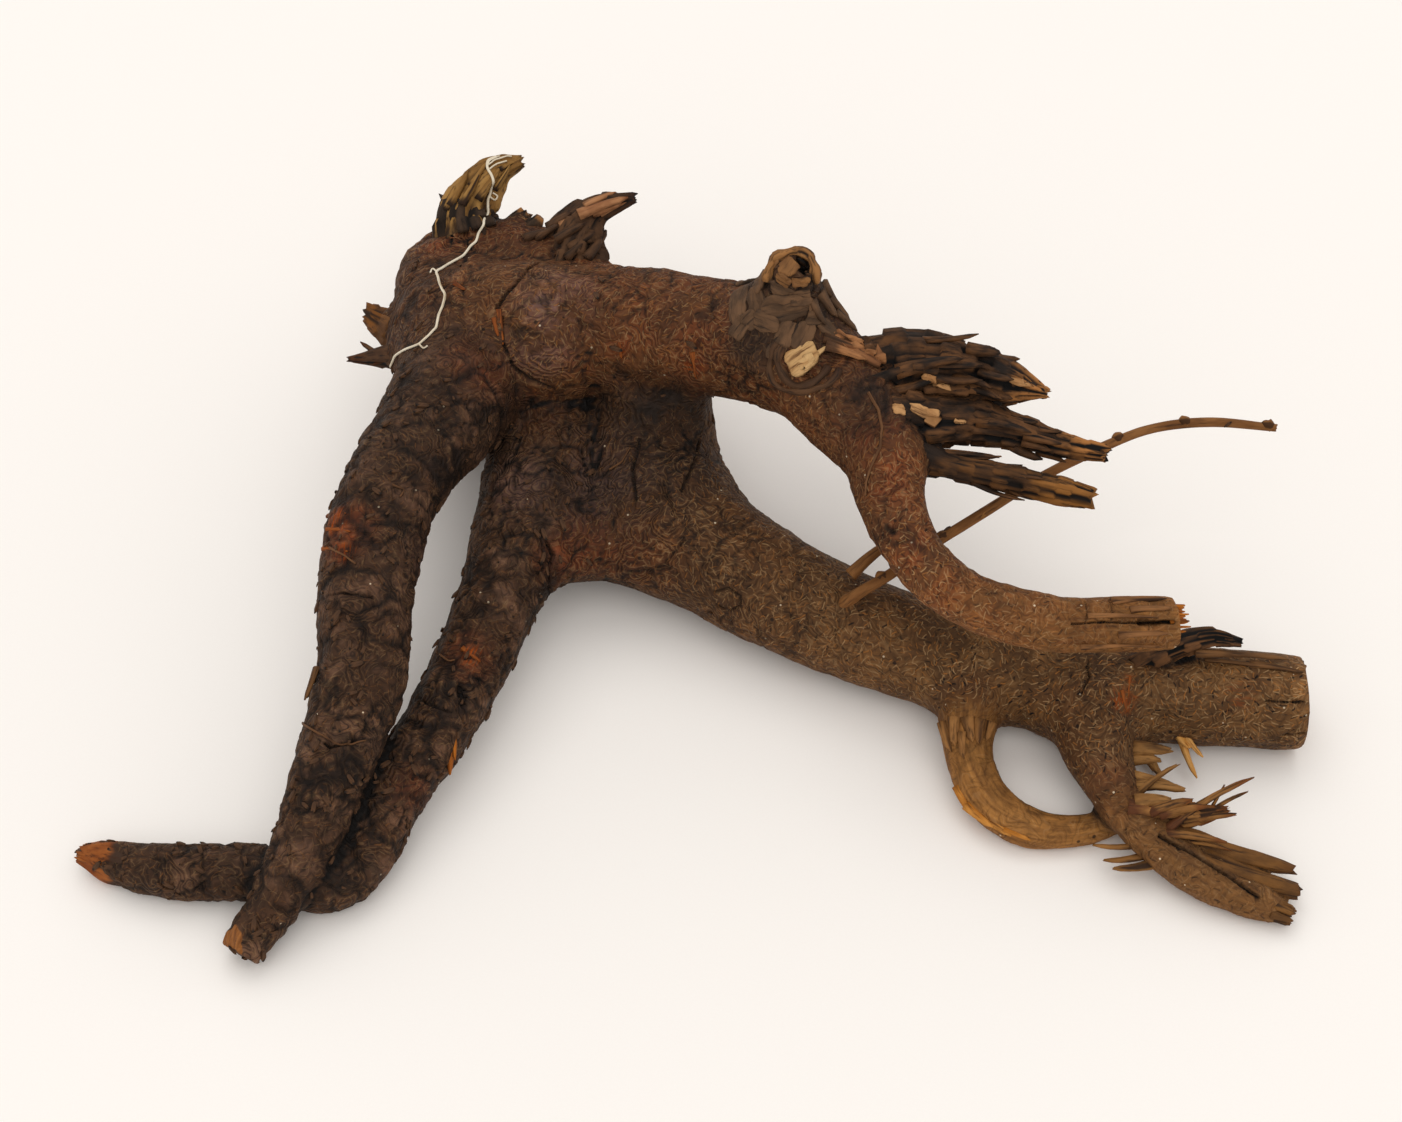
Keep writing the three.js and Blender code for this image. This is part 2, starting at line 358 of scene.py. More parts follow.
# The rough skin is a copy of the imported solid, made even and then drawn onto the smooth limbs.
block_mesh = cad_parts["driftwood"].data.copy()
block = bmesh.new()
block.from_mesh(block_mesh)
bmesh.ops.remove_doubles(block, verts=block.verts, dist=0.01 * MM)
block.to_mesh(block_mesh)
block.free()
rough_wood = put("rough_wood", block_mesh)
remesh = rough_wood.modifiers.new("remesh", "REMESH")
remesh.mode = "VOXEL"
remesh.voxel_size = VOXEL
wood_mesh = plain_mesh(rough_wood, "wood_body")
bpy.data.objects.remove(rough_wood)
close_to_skin(wood_mesh)


def mesh_tree(mesh):
    """The surface of a mesh, ready to be looked at along a line or searched for its nearest place."""
    return BVHTree.FromPolygons([v.co for v in mesh.vertices], [p.vertices[:] for p in mesh.polygons])


seen_trees = [mesh_tree(wood_mesh)]


def seen(across, down):
    """The place and the outward direction of the nearest surface at a pixel of the view."""
    hits = [tree.ray_cast(view_from, sight(across, down)) for tree in seen_trees]
    hits = [hit for hit in hits if hit[0] is not None]
    if not hits:
        depths = [VIEW_DISTANCE + 5 * MM * step for step in range(-50, 50)]
        beside = [view_from + depth * sight(across, down) for depth in depths]
        hits = [tree.find_nearest(place) for tree in seen_trees for place in beside]
    place, normal, _, _ = min(hits, key=lambda hit: hit[3])
    return place, normal


def traced(pixels, lift=0.0, step=4):
    """Places on the surface under a line of pixels, lifted off it, about every few pixels."""
    places = []
    for (across, down), (next_across, next_down) in zip(pixels, pixels[1:]):
        count = max(1, round(math.hypot(next_across - across, next_down - down) / step))
        for part in range(count):
            share = part / count
            place, normal = seen(across + share * (next_across - across), down + share * (next_down - down))
            places.append(place + lift * normal)
    place, normal = seen(*pixels[-1])
    return places + [place + lift * normal]


# Cracks, slits and hollows that stand out: a line of pixels, half width and depth in millimetres.
# The mesh is made finer along them, so that a crack stays thin.
CARVED = {
    "branch_slit": ([(1140, 623), (1158, 622), (1174, 622)], 1.5, 6.0),
    "thin_branch_slit": ([(1072, 624), (1100, 622), (1140, 623)], 0.8, 2.6),
    "log_crack": ([(1090, 656), (1087, 668), (1089, 677), (1080, 695)], 0.9, 2.4),
    "crotch_crack": ([(546, 540), (553, 556), (549, 570), (551, 590)], 1.5, 3.2),
    "crown_crack": ([(497, 308), (506, 294), (515, 285), (528, 268), (540, 262), (556, 254)], 1.3, 2.4),
    "crown_crease": ([(502, 318), (504, 345), (513, 366), (530, 380), (552, 388)], 1.3, 2.2),
    "stem_pit": ([(887, 528), (893, 532)], 1.9, 1.2),
    "knot_hollow": ([(803, 258), (808, 268)], 4.5, 8.0),
    "sawn_slit": ([(1266, 701), (1285, 702), (1304, 702)], 0.9, 2.2),
    "low_sawn_slit": ([(1283, 735), (1304, 733)], 0.9, 2.2),
    "leg_hollow": ([(462, 688), (466, 702)], 4.0, 4.5),
    "leg_crack": ([(328, 596), (343, 593), (358, 595), (372, 597)], 1.1, 2.0),
    "low_leg_crack": ([(312, 735), (330, 747), (346, 744), (362, 742)], 1.1, 2.0),
    "toe_crack": ([(200, 838), (203, 862), (199, 890)], 1.1, 1.8),
    "middle_leg_crack": ([(420, 700), (434, 706), (452, 712)], 1.1, 1.8),
    "branch_wrinkle": ([(1085, 602), (1088, 612), (1086, 622)], 0.8, 1.2),
    "branch_ring": ([(1110, 600), (1113, 612), (1111, 622)], 0.8, 1.2),
    "log_ring": ([(714, 592), (728, 588), (740, 596), (740, 606), (728, 611), (716, 605)], 1.0, 1.4),
    "neck_fold": ([(700, 440), (694, 462), (682, 490)], 1.3, 2.2),
    "neck_crack": ([(640, 440), (632, 470), (636, 500)], 1.3, 2.2),
    "finger_slit": ([(1160, 836), (1185, 850), (1215, 868), (1245, 888), (1258, 897)], 1.3, 3.0),
}
FINE_REACH = 3 * MM
crack_lines = {name: np.array(traced(pixels, step=2)) for name, (pixels, _, _) in CARVED.items()}


def distance_to(line, points):
    """How far each point is from the nearest place of a line."""
    away = np.full(len(points), np.inf)
    for place in line:
        away = np.minimum(away, ((points - place) ** 2).sum(axis=1))
    return np.sqrt(away)


for _ in range(2):
    skin = mesh_points(wood_mesh)
    near = np.min([distance_to(line, skin) for line in crack_lines.values()], axis=0) < FINE_REACH
    finer = bmesh.new()
    finer.from_mesh(wood_mesh)
    finer.verts.ensure_lookup_table()
    edges = [edge for edge in finer.edges if near[edge.verts[0].index] and near[edge.verts[1].index]]
    bmesh.ops.subdivide_edges(finer, edges=edges, cuts=1, use_grid_fill=True)
    bmesh.ops.triangulate(finer, faces=[face for face in finer.faces if len(face.verts) > 4])
    finer.to_mesh(wood_mesh)
    finer.free()

# Along each limb the bark has a grain of its own: a place around the limb and a length along it.
even_out = Evener(wood_mesh)
skin = mesh_points(wood_mesh)
_, _, limb_below, place_below = wood_field(skin)
limb_names = list(ways)
grain = np.zeros_like(skin)
grain_way = np.zeros_like(skin)
share_along = np.zeros(len(skin))
for number, (name, way) in enumerate(ways.items()):
    own = limb_below == number
    where = place_below[own]
    offset = skin[own] - way.at(way.places, where)
    radius = way.at(way.radii, where)
    turn = np.arctan2((offset * way.at(way.sides, where)).sum(1), (offset * way.at(way.ups, where)).sum(1))
    length = way.at(way.lengths, where)
    grain[own] = np.column_stack([radius * np.cos(turn), radius * np.sin(turn), length + 0.1 * number])
    grain_way[own] = way.at(way.tangents, where)
    share_along[own] = length / way.lengths[-1]


def limb_mask(strengths, rounds=24):
    """A mask that is set for whole limbs and fades softly where they join."""
    values = np.zeros(len(skin))
    for name, strength in strengths.items():
        own = limb_below == limb_names.index(name)
        values[own] = strength(share_along[own]) if callable(strength) else strength
    return even_out(values, rounds)


set_values(wood_mesh, "grain", grain)
set_values(wood_mesh, "grain_way", grain_way)
leg_bark = limb_mask({
    "frontLeg": 1.0, "middleLeg": lambda s: np.clip(s * 4 - 0.3, 0, 1), "lowerThorn": 0.5, "crown": 0.4})
set_values(wood_mesh, "leg_bark", leg_bark)
set_values(wood_mesh, "calm_bark", limb_mask({"fingerRoot": lambda s: np.clip(s * 4 - 0.6, 0, 0.65)}))
smooth_bark = limb_mask({
    "mainStem": lambda s: np.clip(s * 2.2 - 0.6, 0, 0.85),
    "upperStem": lambda s: np.clip(s * 3 - 1.6, 0.25, 0.9),
    "hookedRoot": 1.0, "fingerRoot": 0.9})
set_values(wood_mesh, "smooth_bark", smooth_bark)


def add(tree, kind, inputs=None, **settings):
    """One node of a tree, with its settings, and with its inputs linked or set."""
    made = tree.nodes.new(kind)
    for name, value in settings.items():
        setattr(made, name, value)
    for key, value in (inputs or {}).items():
        if isinstance(value, bpy.types.NodeSocket):
            tree.links.new(value, made.inputs[key])
        else:
            made.inputs[key].default_value = value
    return made


def calc(tree, operation, *values):
    return add(tree, "ShaderNodeMath", dict(enumerate(values)), operation=operation).outputs[0]


def times(tree, first, second):
    return calc(tree, "MULTIPLY", first, second)


def rest_of(tree, share):
    """What a share leaves of the whole."""
    return calc(tree, "SUBTRACT", 1.0, share)


def calc_vector(tree, operation, *values):
    made = add(tree, "ShaderNodeVectorMath", dict(enumerate(values)), operation=operation)
    return made.outputs["Value" if operation in ("DOT_PRODUCT", "LENGTH") else "Vector"]


def fade(tree, value, low, high):
    """Goes smoothly from 0 at low to 1 at high."""
    inputs = {"Value": value, "From Min": low, "From Max": high}
    return add(tree, "ShaderNodeMapRange", inputs, interpolation_type="SMOOTHSTEP").outputs[0]


def noise_of(tree, vector, scale, detail=2.0, roughness=0.5):
    inputs = {"Vector": vector, "Scale": scale, "Detail": detail, "Roughness": roughness}
    return add(tree, "ShaderNodeTexNoise", inputs).outputs


def cell_edges(tree, vector, scale):
    inputs = {"Vector": vector, "Scale": scale}
    return add(tree, "ShaderNodeTexVoronoi", inputs, feature="DISTANCE_TO_EDGE").outputs["Distance"]


def stirred(tree, vector, scale, amount):
    """A place that is pushed about by noise, so that straight patterns turn wavy."""
    push = calc_vector(tree, "SUBTRACT", noise_of(tree, vector, scale)["Color"], (0.5, 0.5, 0.5))
    return calc_vector(tree, "MULTIPLY_ADD", push, (amount, amount, amount), vector)


def geometry_tree(name, sockets):
    """An empty Geometry Nodes tree with a mesh in and out and the named inputs (name, kind)."""
    tree = bpy.data.node_groups.new(name, "GeometryNodeTree")
    tree.interface.new_socket("Mesh", in_out="INPUT", socket_type="NodeSocketGeometry")
    for label, kind in sockets:
        tree.interface.new_socket(label, in_out="INPUT", socket_type="NodeSocket" + kind)
    tree.interface.new_socket("Mesh", in_out="OUTPUT", socket_type="NodeSocketGeometry")
    return tree, tree.nodes.new("NodeGroupInput").outputs, tree.nodes.new("NodeGroupOutput").inputs


def run_tree(thing, tree, values):
    """Runs a tree on an object with its inputs set, and gives the result as a plain mesh."""
    modifier = thing.modifiers.new(tree.name, "NODES")
    modifier.node_group = tree
    for item in tree.interface.items_tree:
        if item.in_out == "INPUT" and item.name in values:
            modifier[item.identifier] = values[item.name]
    mesh = plain_mesh(thing, thing.name)
    thing.modifiers.remove(modifier)
    return mesh


def named(tree, name, kind="FLOAT"):
    """A stored value of the mesh, inside a Geometry Nodes tree."""
    return add(tree, "GeometryNodeInputNamedAttribute", {"Name": name}, data_type=kind).outputs["Attribute"]


def end_tree(tree, shape, given, result):
    """Ends a tree with its instances made real and its finish set."""
    solid = add(tree, "GeometryNodeRealizeInstances", {0: shape}).outputs[0]
    inputs = {"Geometry": solid, "Material": given["Finish"]}
    finished = add(tree, "GeometryNodeSetMaterial", inputs).outputs[0]
    tree.links.new(finished, result["Mesh"])


def material_tree(name):
    """A new material with its node tree and its main shader."""
    material = bpy.data.materials.new(name)
    material.use_nodes = True
    return material, material.node_tree, material.node_tree.nodes["Principled BSDF"]


bark, bark_tree, bark_shader = material_tree("weathered_bark")

# The bark's relief: broad lumps, curly folds, wandering cracks, and cracks across the legs.
# It is left off the sawn end, and the cracks are kept as a value for the bark's colours.
relief, given, result = geometry_tree("bark_relief", [
    ("Lump Height", "Float"), ("Fold Height", "Float"), ("Crack Depth", "Float"),
    ("Leg Crack Depth", "Float"), ("Finish", "Material")])
place = add(relief, "GeometryNodeInputPosition").outputs[0]
rough_share = rest_of(relief, times(relief, named(relief, "smooth_bark"), 0.75))
lumps = calc(relief, "SUBTRACT", noise_of(relief, place, 21.0, 3.0, 0.55)[0], 0.5)
folds_from = stirred(relief, place, 55.0, 0.012)
fold_lines = calc(relief, "PINGPONG", times(relief, noise_of(relief, folds_from, 42.0, 1.0)[0], 7.0), 0.5)
folds = times(relief, calc(relief, "SUBTRACT", fold_lines, 0.25), rough_share)
crack_cells = cell_edges(relief, stirred(relief, place, 40.0, 0.022), 62.0)
crack = rest_of(relief, fade(relief, crack_cells, 0.0, 0.11))
crack = times(relief, crack, fade(relief, noise_of(relief, place, 33.0)[0], 0.42, 0.58))
crack = times(relief, crack, rough_share)
across_limb = calc_vector(relief, "MULTIPLY", named(relief, "grain", "FLOAT_VECTOR"), (30.0, 30.0, 58.0))
leg_cells = cell_edges(relief, stirred(relief, across_limb, 0.8, 1.3), 1.0)
leg_crack = rest_of(relief, fade(relief, leg_cells, 0.0, 0.16))
leg_crack = times(relief, leg_crack, named(relief, "leg_bark"))
leg_crack = times(relief, leg_crack, fade(relief, noise_of(relief, place, 26.0)[0], 0.35, 0.6))
rise = times(relief, lumps, given["Lump Height"])
rise = calc(relief, "MULTIPLY_ADD", folds, given["Fold Height"], rise)
rise = calc(relief, "SUBTRACT", rise, times(relief, crack, given["Crack Depth"]))
rise = calc(relief, "SUBTRACT", rise, times(relief, leg_crack, given["Leg Crack Depth"]))
sawn_away = rest_of(relief, named(relief, "sawn"))
rise = times(relief, rise, sawn_away)
outward = add(relief, "GeometryNodeInputNormal").outputs[0]
move = calc_vector(relief, "SCALE", outward)
relief.links.new(rise, move.node.inputs["Scale"])
moved = add(relief, "GeometryNodeSetPosition", {"Geometry": given["Mesh"], "Offset": move}).outputs[0]
cracks = calc(relief, "MAXIMUM", crack, leg_crack)
kept = add(relief, "GeometryNodeStoreNamedAttribute", {
    "Geometry": moved, "Name": "crack", "Value": cracks}, data_type="FLOAT", domain="POINT").outputs[0]
end_tree(relief, kept, given, result)

set_values(wood_mesh, "sawn", (skin[:, 0] > SAWN_END - 0.6 * MM).astype(float))
wood_body = put("wood_body", wood_mesh)
wood_body.data = run_tree(wood_body, relief, {
    "Lump Height": 7.0 * MM, "Fold Height": 1.2 * MM, "Crack Depth": 1.2 * MM,
    "Leg Crack Depth": 1.1 * MM, "Finish": bark})
wood_mesh = wood_body.data
skin = mesh_points(wood_mesh)
skin[:, 2] = np.maximum(skin[:, 2], 0)
skin[:, 0] = np.minimum(skin[:, 0], SAWN_END)
set_points(wood_mesh, skin)
outward = mesh_normals(wood_mesh)
carved = np.zeros(len(skin))
inward = np.zeros(len(skin))
for name, (_, half_width, depth) in CARVED.items():
    away = distance_to(crack_lines[name], skin) / (half_width * MM)
    inward = np.maximum(inward, depth * MM * np.clip(1 - away ** 2, 0, 1))
    carved = np.maximum(carved, min(0.85, 0.45 * half_width) * np.clip(1.6 - away, 0, 1))
skin = skin - inward[:, None] * outward

# The tip of the front leg is cut off on a slant that faces left and up.
CUT_PLACE = np.array((-0.2397, -0.2375, 0.0133))
CUT_FACING = np.array((-0.72, -0.38, 0.58))
CUT_REACH = 20 * MM
CUT_EDGE = 1.5 * MM
past_cut = (skin - CUT_PLACE) @ CUT_FACING
near_cut = np.linalg.norm(skin - CUT_PLACE, axis=1) < CUT_REACH
skin = skin - np.outer(np.where(near_cut, np.maximum(past_cut, 0), 0), CUT_FACING)
set_values(wood_mesh, "cut", np.where(near_cut, np.clip(1 + past_cut / CUT_EDGE, 0, 1), 0))
skin[:, 2] = np.maximum(skin[:, 2], 0)
set_points(wood_mesh, skin)
outward = mesh_normals(wood_mesh)
set_values(wood_mesh, "carved", carved)
seen_trees[0] = mesh_tree(wood_mesh)

# Painted shade and painted highlight: hollows are painted darker and ridges lighter, by how far each point
# lies under its evened-out place.
deep = ((even_out(skin, 6) - skin) * outward).sum(axis=1) / (0.75 * MM)
broad = ((even_out(skin, 60) - skin) * outward).sum(axis=1) / (2.5 * MM)
set_values(wood_mesh, "hollow", np.clip(0.6 * deep + 0.4 * broad, -1, 1))


def spot_mask(spots, base=None):
    """A mask of soft round spots, each (across, down, radius in millimetres, strength)."""
    values = np.zeros(len(skin)) if base is None else base.copy()
    for across, down, radius, strength in spots:
        middle = np.array(seen(across, down)[0])
        away = np.linalg.norm(skin - middle, axis=1) / (radius * MM)
        values = np.maximum(values, strength * np.clip(1.35 - away, 0, 1))
    return values


RED_SPOTS = [
    (620, 350, 12, 0.9), (697, 365, 10, 0.9), (700, 320, 30, 0.5), (640, 330, 40, 0.45),
    (560, 330, 26, 0.35), (880, 440, 24, 0.9), (890, 480, 22, 0.7), (905, 545, 26, 0.7),
    (940, 590, 22, 0.6), (1000, 605, 22, 0.4), (343, 530, 17, 1.0), (480, 365, 22, 0.4),
    (590, 548, 20, 0.7), (560, 560, 16, 0.7), (640, 560, 24, 0.3), (440, 245, 18, 0.5),
    (540, 400, 20, 0.4), (1110, 790, 16, 0.35), (470, 655, 14, 0.7), (415, 790, 14, 0.4),
    (500, 260, 30, 0.4)]
ORANGE_SPOTS = [
    (338, 520, 9, 1.0), (345, 552, 7, 1.0), (1125, 700, 9, 0.9), (690, 368, 5, 0.8), (620, 352, 4, 0.8),
    (470, 655, 7, 0.9), (1130, 680, 5, 0.6), (925, 380, 4, 0.5), (1240, 695, 12, 0.45),
    (455, 285, 6, 0.6)]
# Scorched spots on the fan, the knot and round the foot of the horn, and painted shadow where the upper stem
# shades the neck and the top of the main stem.
CHAR_AND_SHADOW_SPOTS = [
    (600, 500, 34, 0.5), (640, 470, 30, 0.5), (560, 470, 28, 0.4), (520, 430, 26, 0.35),
    (470, 430, 26, 0.3), (690, 440, 20, 0.4), (790, 312, 16, 0.6), (815, 345, 12, 0.6),
    (800, 320, 20, 0.7), (830, 330, 22, 0.8), (870, 400, 26, 0.9), (760, 305, 14, 0.5),
    (905, 405, 22, 1.0), (640, 405, 24, 0.9), (670, 408, 24, 0.95), (698, 400, 18, 0.8),
    (560, 430, 26, 0.4), (610, 410, 20, 0.8), (650, 416, 22, 1.0), (682, 416, 22, 1.0),
    (500, 208, 14, 0.9), (480, 213, 14, 0.9), (560, 215, 12, 0.6), (590, 240, 14, 0.5)]
# Painted sheen: soft grey-violet highlights on the crown, the upper stem, the neck and a leg.
VIOLET_SHEEN_SPOTS = [
    (555, 300, 22, 0.9), (540, 340, 20, 0.5), (600, 480, 30, 0.5), (520, 480, 24, 0.4),
    (430, 560, 22, 0.35)]
red = spot_mask(RED_SPOTS, limb_mask({
    "upperStem": lambda s: np.where(s > 0.12, 0.42, 0.2), "crownRidge": 0.4, "crown": 0.15}))
set_values(wood_mesh, "red", red)
set_values(wood_mesh, "orange", spot_mask(ORANGE_SPOTS))
set_values(wood_mesh, "charred", spot_mask(CHAR_AND_SHADOW_SPOTS, limb_mask({
    "fanTop": 1.0, "fanMiddle": 1.0, "fanLow": 1.0, "charredStub": 1.0, "knot": 0.75}, 10)))
set_values(wood_mesh, "violet", spot_mask(VIOLET_SHEEN_SPOTS))
set_values(wood_mesh, "olive", limb_mask({
    "mainStem": lambda s: np.clip(s * 3 - 0.9, 0, 1), "fingerRoot": 0.4,
    "upperStem": lambda s: 0.15 + 0.3 * s}))
set_values(wood_mesh, "bare", limb_mask({
    "hookedRoot": lambda s: np.clip(s * 12 - 0.8, 0, 1),
    "fingerRoot": lambda s: np.clip(s * 3 - 0.9, 0, 0.35),
    "upperStem": lambda s: np.clip((s - 0.7) * 2.8, 0, 0.62),
    "horn": 0.6, "thinRoot": 1.0, "upperFinger": 0.6, "middleFinger": 0.6, "brokenFinger": 0.8}, 8))


def colour(red_part, green_part, blue_part):
    """A colour as it shows on a screen, 0 to 255, as the linear colour that a shader takes."""
    shares = (red_part / 255, green_part / 255, blue_part / 255)
    return tuple(s / 12.92 if s < 0.04045 else ((s + 0.055) / 1.055) ** 2.4 for s in shares) + (1.0,)


def mix(tree, share, first, second, blend="MIX"):
    inputs = {0: share, 6: first, 7: second}
    return add(tree, "ShaderNodeMix", inputs, data_type="RGBA", blend_type=blend).outputs[2]


def richer(tree, shade):
    """Makes up for the white of the room that matt wood throws back."""
    inputs = {"Color": shade, "Saturation": 1.07, "Value": 0.98}
    return add(tree, "ShaderNodeHueSaturation", inputs).outputs[0]


def stored(tree, name, output="Fac"):
    """A stored value of the mesh, inside a material."""
    return add(tree, "ShaderNodeAttribute", attribute_name=name).outputs[output]


def bump(tree, shader, height, distance):
    made = add(tree, "ShaderNodeBump", {"Height": height, "Distance": distance})
    tree.links.new(made.outputs[0], shader.inputs["Normal"])


def dashes(tree, vector, scale, length, width):
    """Short thin strokes that lie in the surface, one in each cell, in swirls, some strong and some faint."""
    cells = add(tree, "ShaderNodeTexVoronoi", {"Vector": vector, "Scale": scale}).outputs
    swirl = calc_vector(tree, "SUBTRACT", noise_of(tree, vector, 34.0)[1], (0.5, 0.5, 0.5))
    lean = calc_vector(tree, "SUBTRACT", cells["Color"], (0.5, 0.5, 0.5))
    lean = calc_vector(tree, "ADD", lean, calc_vector(tree, "MULTIPLY", swirl, (3.0, 3.0, 3.0)))
    outward = add(tree, "ShaderNodeNewGeometry").outputs["Normal"]
    off = calc_vector(tree, "SUBTRACT", vector, cells["Position"])
    off = calc_vector(tree, "SUBTRACT", off, calc_vector(tree, "PROJECT", off, outward))
    lean = calc_vector(tree, "SUBTRACT", lean, calc_vector(tree, "PROJECT", lean, outward))
    lean = calc_vector(tree, "NORMALIZE", lean)
    reach = calc(tree, "ABSOLUTE", calc_vector(tree, "DOT_PRODUCT", off, lean))
    aside = calc_vector(tree, "LENGTH", calc_vector(tree, "CROSS_PRODUCT", off, lean))
    thin = rest_of(tree, fade(tree, aside, 0.4 * width, width))
    short = rest_of(tree, fade(tree, reach, 0.6 * length, length))
    strength = calc_vector(tree, "DOT_PRODUCT", cells["Color"], (0.5, 0.5, 0))
    return times(tree, times(tree, thin, short), strength)


PALE_FLECK = colour(164, 132, 96)
# A near-black for cracks, fine dark marks and the painted shade in the hollows.
CRACK_AND_SHADE_DARK = colour(16, 12, 10)
SAWN_PITH = (0, -0.0839, 0.0247)

# The bark's colours, from the broad browns to the fine marks.
tree, shader = bark_tree, bark_shader
place = add(tree, "ShaderNodeTexCoord").outputs["Object"]
broad_noise = noise_of(tree, place, 16.0, 4.0, 0.6)[0]
fine_noise = noise_of(tree, place, 140.0, 5.0, 0.65)[0]
patchy = fade(tree, noise_of(tree, stirred(tree, place, 40.0, 0.03), 48.0, 3.0, 0.6)[0], 0.36, 0.62)
hollow = stored(tree, "hollow")
shade = mix(tree, fade(tree, broad_noise, 0.35, 0.65), colour(58, 39, 27), colour(88, 58, 37))
on_leg = stored(tree, "leg_bark")
off_leg = rest_of(tree, times(tree, on_leg, 0.55))
shade = mix(tree, times(tree, on_leg, 0.85), shade, colour(57, 39, 28))
greyed = fade(tree, noise_of(tree, place, 44.0, 3.0, 0.6)[0], 0.5, 0.66)
shade = mix(tree, times(tree, greyed, times(tree, on_leg, 0.7)), shade, colour(98, 72, 57))
olive_bark = mix(tree, patchy, colour(82, 58, 37), colour(110, 79, 50))
shade = mix(tree, times(tree, stored(tree, "olive"), 0.8), shade, olive_bark)
red_share = times(tree, stored(tree, "red"), calc(tree, "MULTIPLY_ADD", patchy, 0.7, 0.3))
shade = mix(tree, red_share, shade, colour(112, 58, 36))
# Painted sheen in grey-violet.
violet_sheen_share = times(tree, stored(tree, "violet"), patchy)
shade = mix(tree, violet_sheen_share, shade, colour(108, 82, 76))
smudges = fade(tree, noise_of(tree, stirred(tree, place, 25.0, 0.03), 30.0, 4.0, 0.6)[0], 0.52, 0.7)
shade = mix(tree, times(tree, smudges, 0.5), shade, colour(44, 30, 22))

# Where the bark has gone, the bare wood shows streaks along the limb.
grain_place = calc_vector(tree, "MULTIPLY", stored(tree, "grain", "Vector"), (1.0, 1.0, 0.12))
streaks = noise_of(tree, stirred(tree, grain_place, 30.0, 0.006), 420.0, 3.0, 0.6)[0]
bare_wood = mix(tree, fade(tree, streaks, 0.25, 0.75), colour(98, 66, 38), colour(146, 104, 62))
shade = mix(tree, times(tree, stored(tree, "bare"), 0.85), shade, bare_wood)

# Curled folds, dark between them and pale on top.
curls_from = stirred(tree, place, 60.0, 0.014)
curl_levels = times(tree, noise_of(tree, curls_from, 52.0, 1.5, 0.5)[0], 13.0)
curls = times(tree, calc(tree, "PINGPONG", curl_levels, 0.5), 2.0)
curl_dark = rest_of(tree, fade(tree, curls, 0.06, 0.34))
curl_pale = fade(tree, curls, 0.72, 0.97)
rough_share = rest_of(tree, times(tree, stored(tree, "smooth_bark"), 0.5))
curl_dark = times(tree, curl_dark, rough_share)
curl_pale = times(tree, times(tree, curl_pale, times(tree, rough_share, off_leg)), patchy)
shade = mix(tree, times(tree, curl_dark, calc(tree, "MULTIPLY_ADD", patchy, 0.35, 0.3)), shade, CRACK_AND_SHADE_DARK)
shade = mix(tree, times(tree, curl_pale, 0.3), shade, PALE_FLECK)

# Short strokes of pale, brown and dark fibre.
pale_strokes = dashes(tree, place, 185.0, 2.4 * MM, 0.42 * MM)
brown_strokes = dashes(tree, stirred(tree, place, 90.0, 0.003), 205.0, 2.2 * MM, 0.45 * MM)
faint_strokes = dashes(tree, stirred(tree, place, 50.0, 0.008), 150.0, 2.9 * MM, 0.42 * MM)
dark_strokes = dashes(tree, stirred(tree, place, 70.0, 0.005), 165.0, 2.2 * MM, 0.6 * MM)
stroke_share = calc(tree, "MULTIPLY_ADD", stored(tree, "smooth_bark"), 0.7, 0.5)
stroke_share = times(tree, stroke_share, rest_of(tree, stored(tree, "bare")))
shade = mix(tree, times(tree, dark_strokes, stroke_share), shade, CRACK_AND_SHADE_DARK)
stroke_share = times(tree, stroke_share, off_leg)
stroke_share = times(tree, stroke_share, rest_of(tree, stored(tree, "calm_bark")))
shade = mix(tree, times(tree, faint_strokes, times(tree, stroke_share, 0.6)), shade, PALE_FLECK)
shade = mix(tree, times(tree, brown_strokes, stroke_share), shade, colour(146, 98, 58))
shade = mix(tree, times(tree, pale_strokes, times(tree, stroke_share, 0.85)), shade, PALE_FLECK)
strokes = calc(tree, "SUBTRACT", calc(tree, "ADD", pale_strokes, brown_strokes), dark_strokes)

# Small dark pits and pale specks.
pit_cells = add(tree, "ShaderNodeTexVoronoi", {"Vector": place, "Scale": 62.0}).outputs
pits = times(tree, fade(tree, pit_cells["Distance"], 0.085, 0.05), 0.8)
speck_cells = add(tree, "ShaderNodeTexVoronoi", {"Vector": place, "Scale": 85.0}).outputs
specks = times(tree, fade(tree, speck_cells["Distance"], 0.06, 0.04), 0.75)
shade = mix(tree, pits, shade, CRACK_AND_SHADE_DARK)
shade = mix(tree, specks, shade, colour(206, 188, 162))

# Scorched places with painted shadow under the upper stem, torn orange fibres, cracks, painted shade in the
# hollows and a painted highlight on the ridges, and the cut and sawn ends.
# Scorched wood, and painted shadow below the upper stem, in the same near-black.
char_and_shadow_share = times(tree, stored(tree, "charred"), calc(tree, "MULTIPLY_ADD", patchy, 0.5, 0.5))
shade = mix(tree, char_and_shadow_share, shade, colour(34, 26, 21))
fibres = noise_of(tree, stirred(tree, grain_place, 60.0, 0.01), 720.0, 3.0, 0.7)[0]
orange_share = times(tree, fade(tree, stored(tree, "orange"), 0.1, 0.9), fade(tree, fibres, 0.47, 0.62))
shade = mix(tree, orange_share, shade, colour(134, 66, 34))
crack_share = calc(tree, "MAXIMUM", times(tree, stored(tree, "crack"), 0.85), stored(tree, "carved"))
shade = mix(tree, crack_share, shade, CRACK_AND_SHADE_DARK)
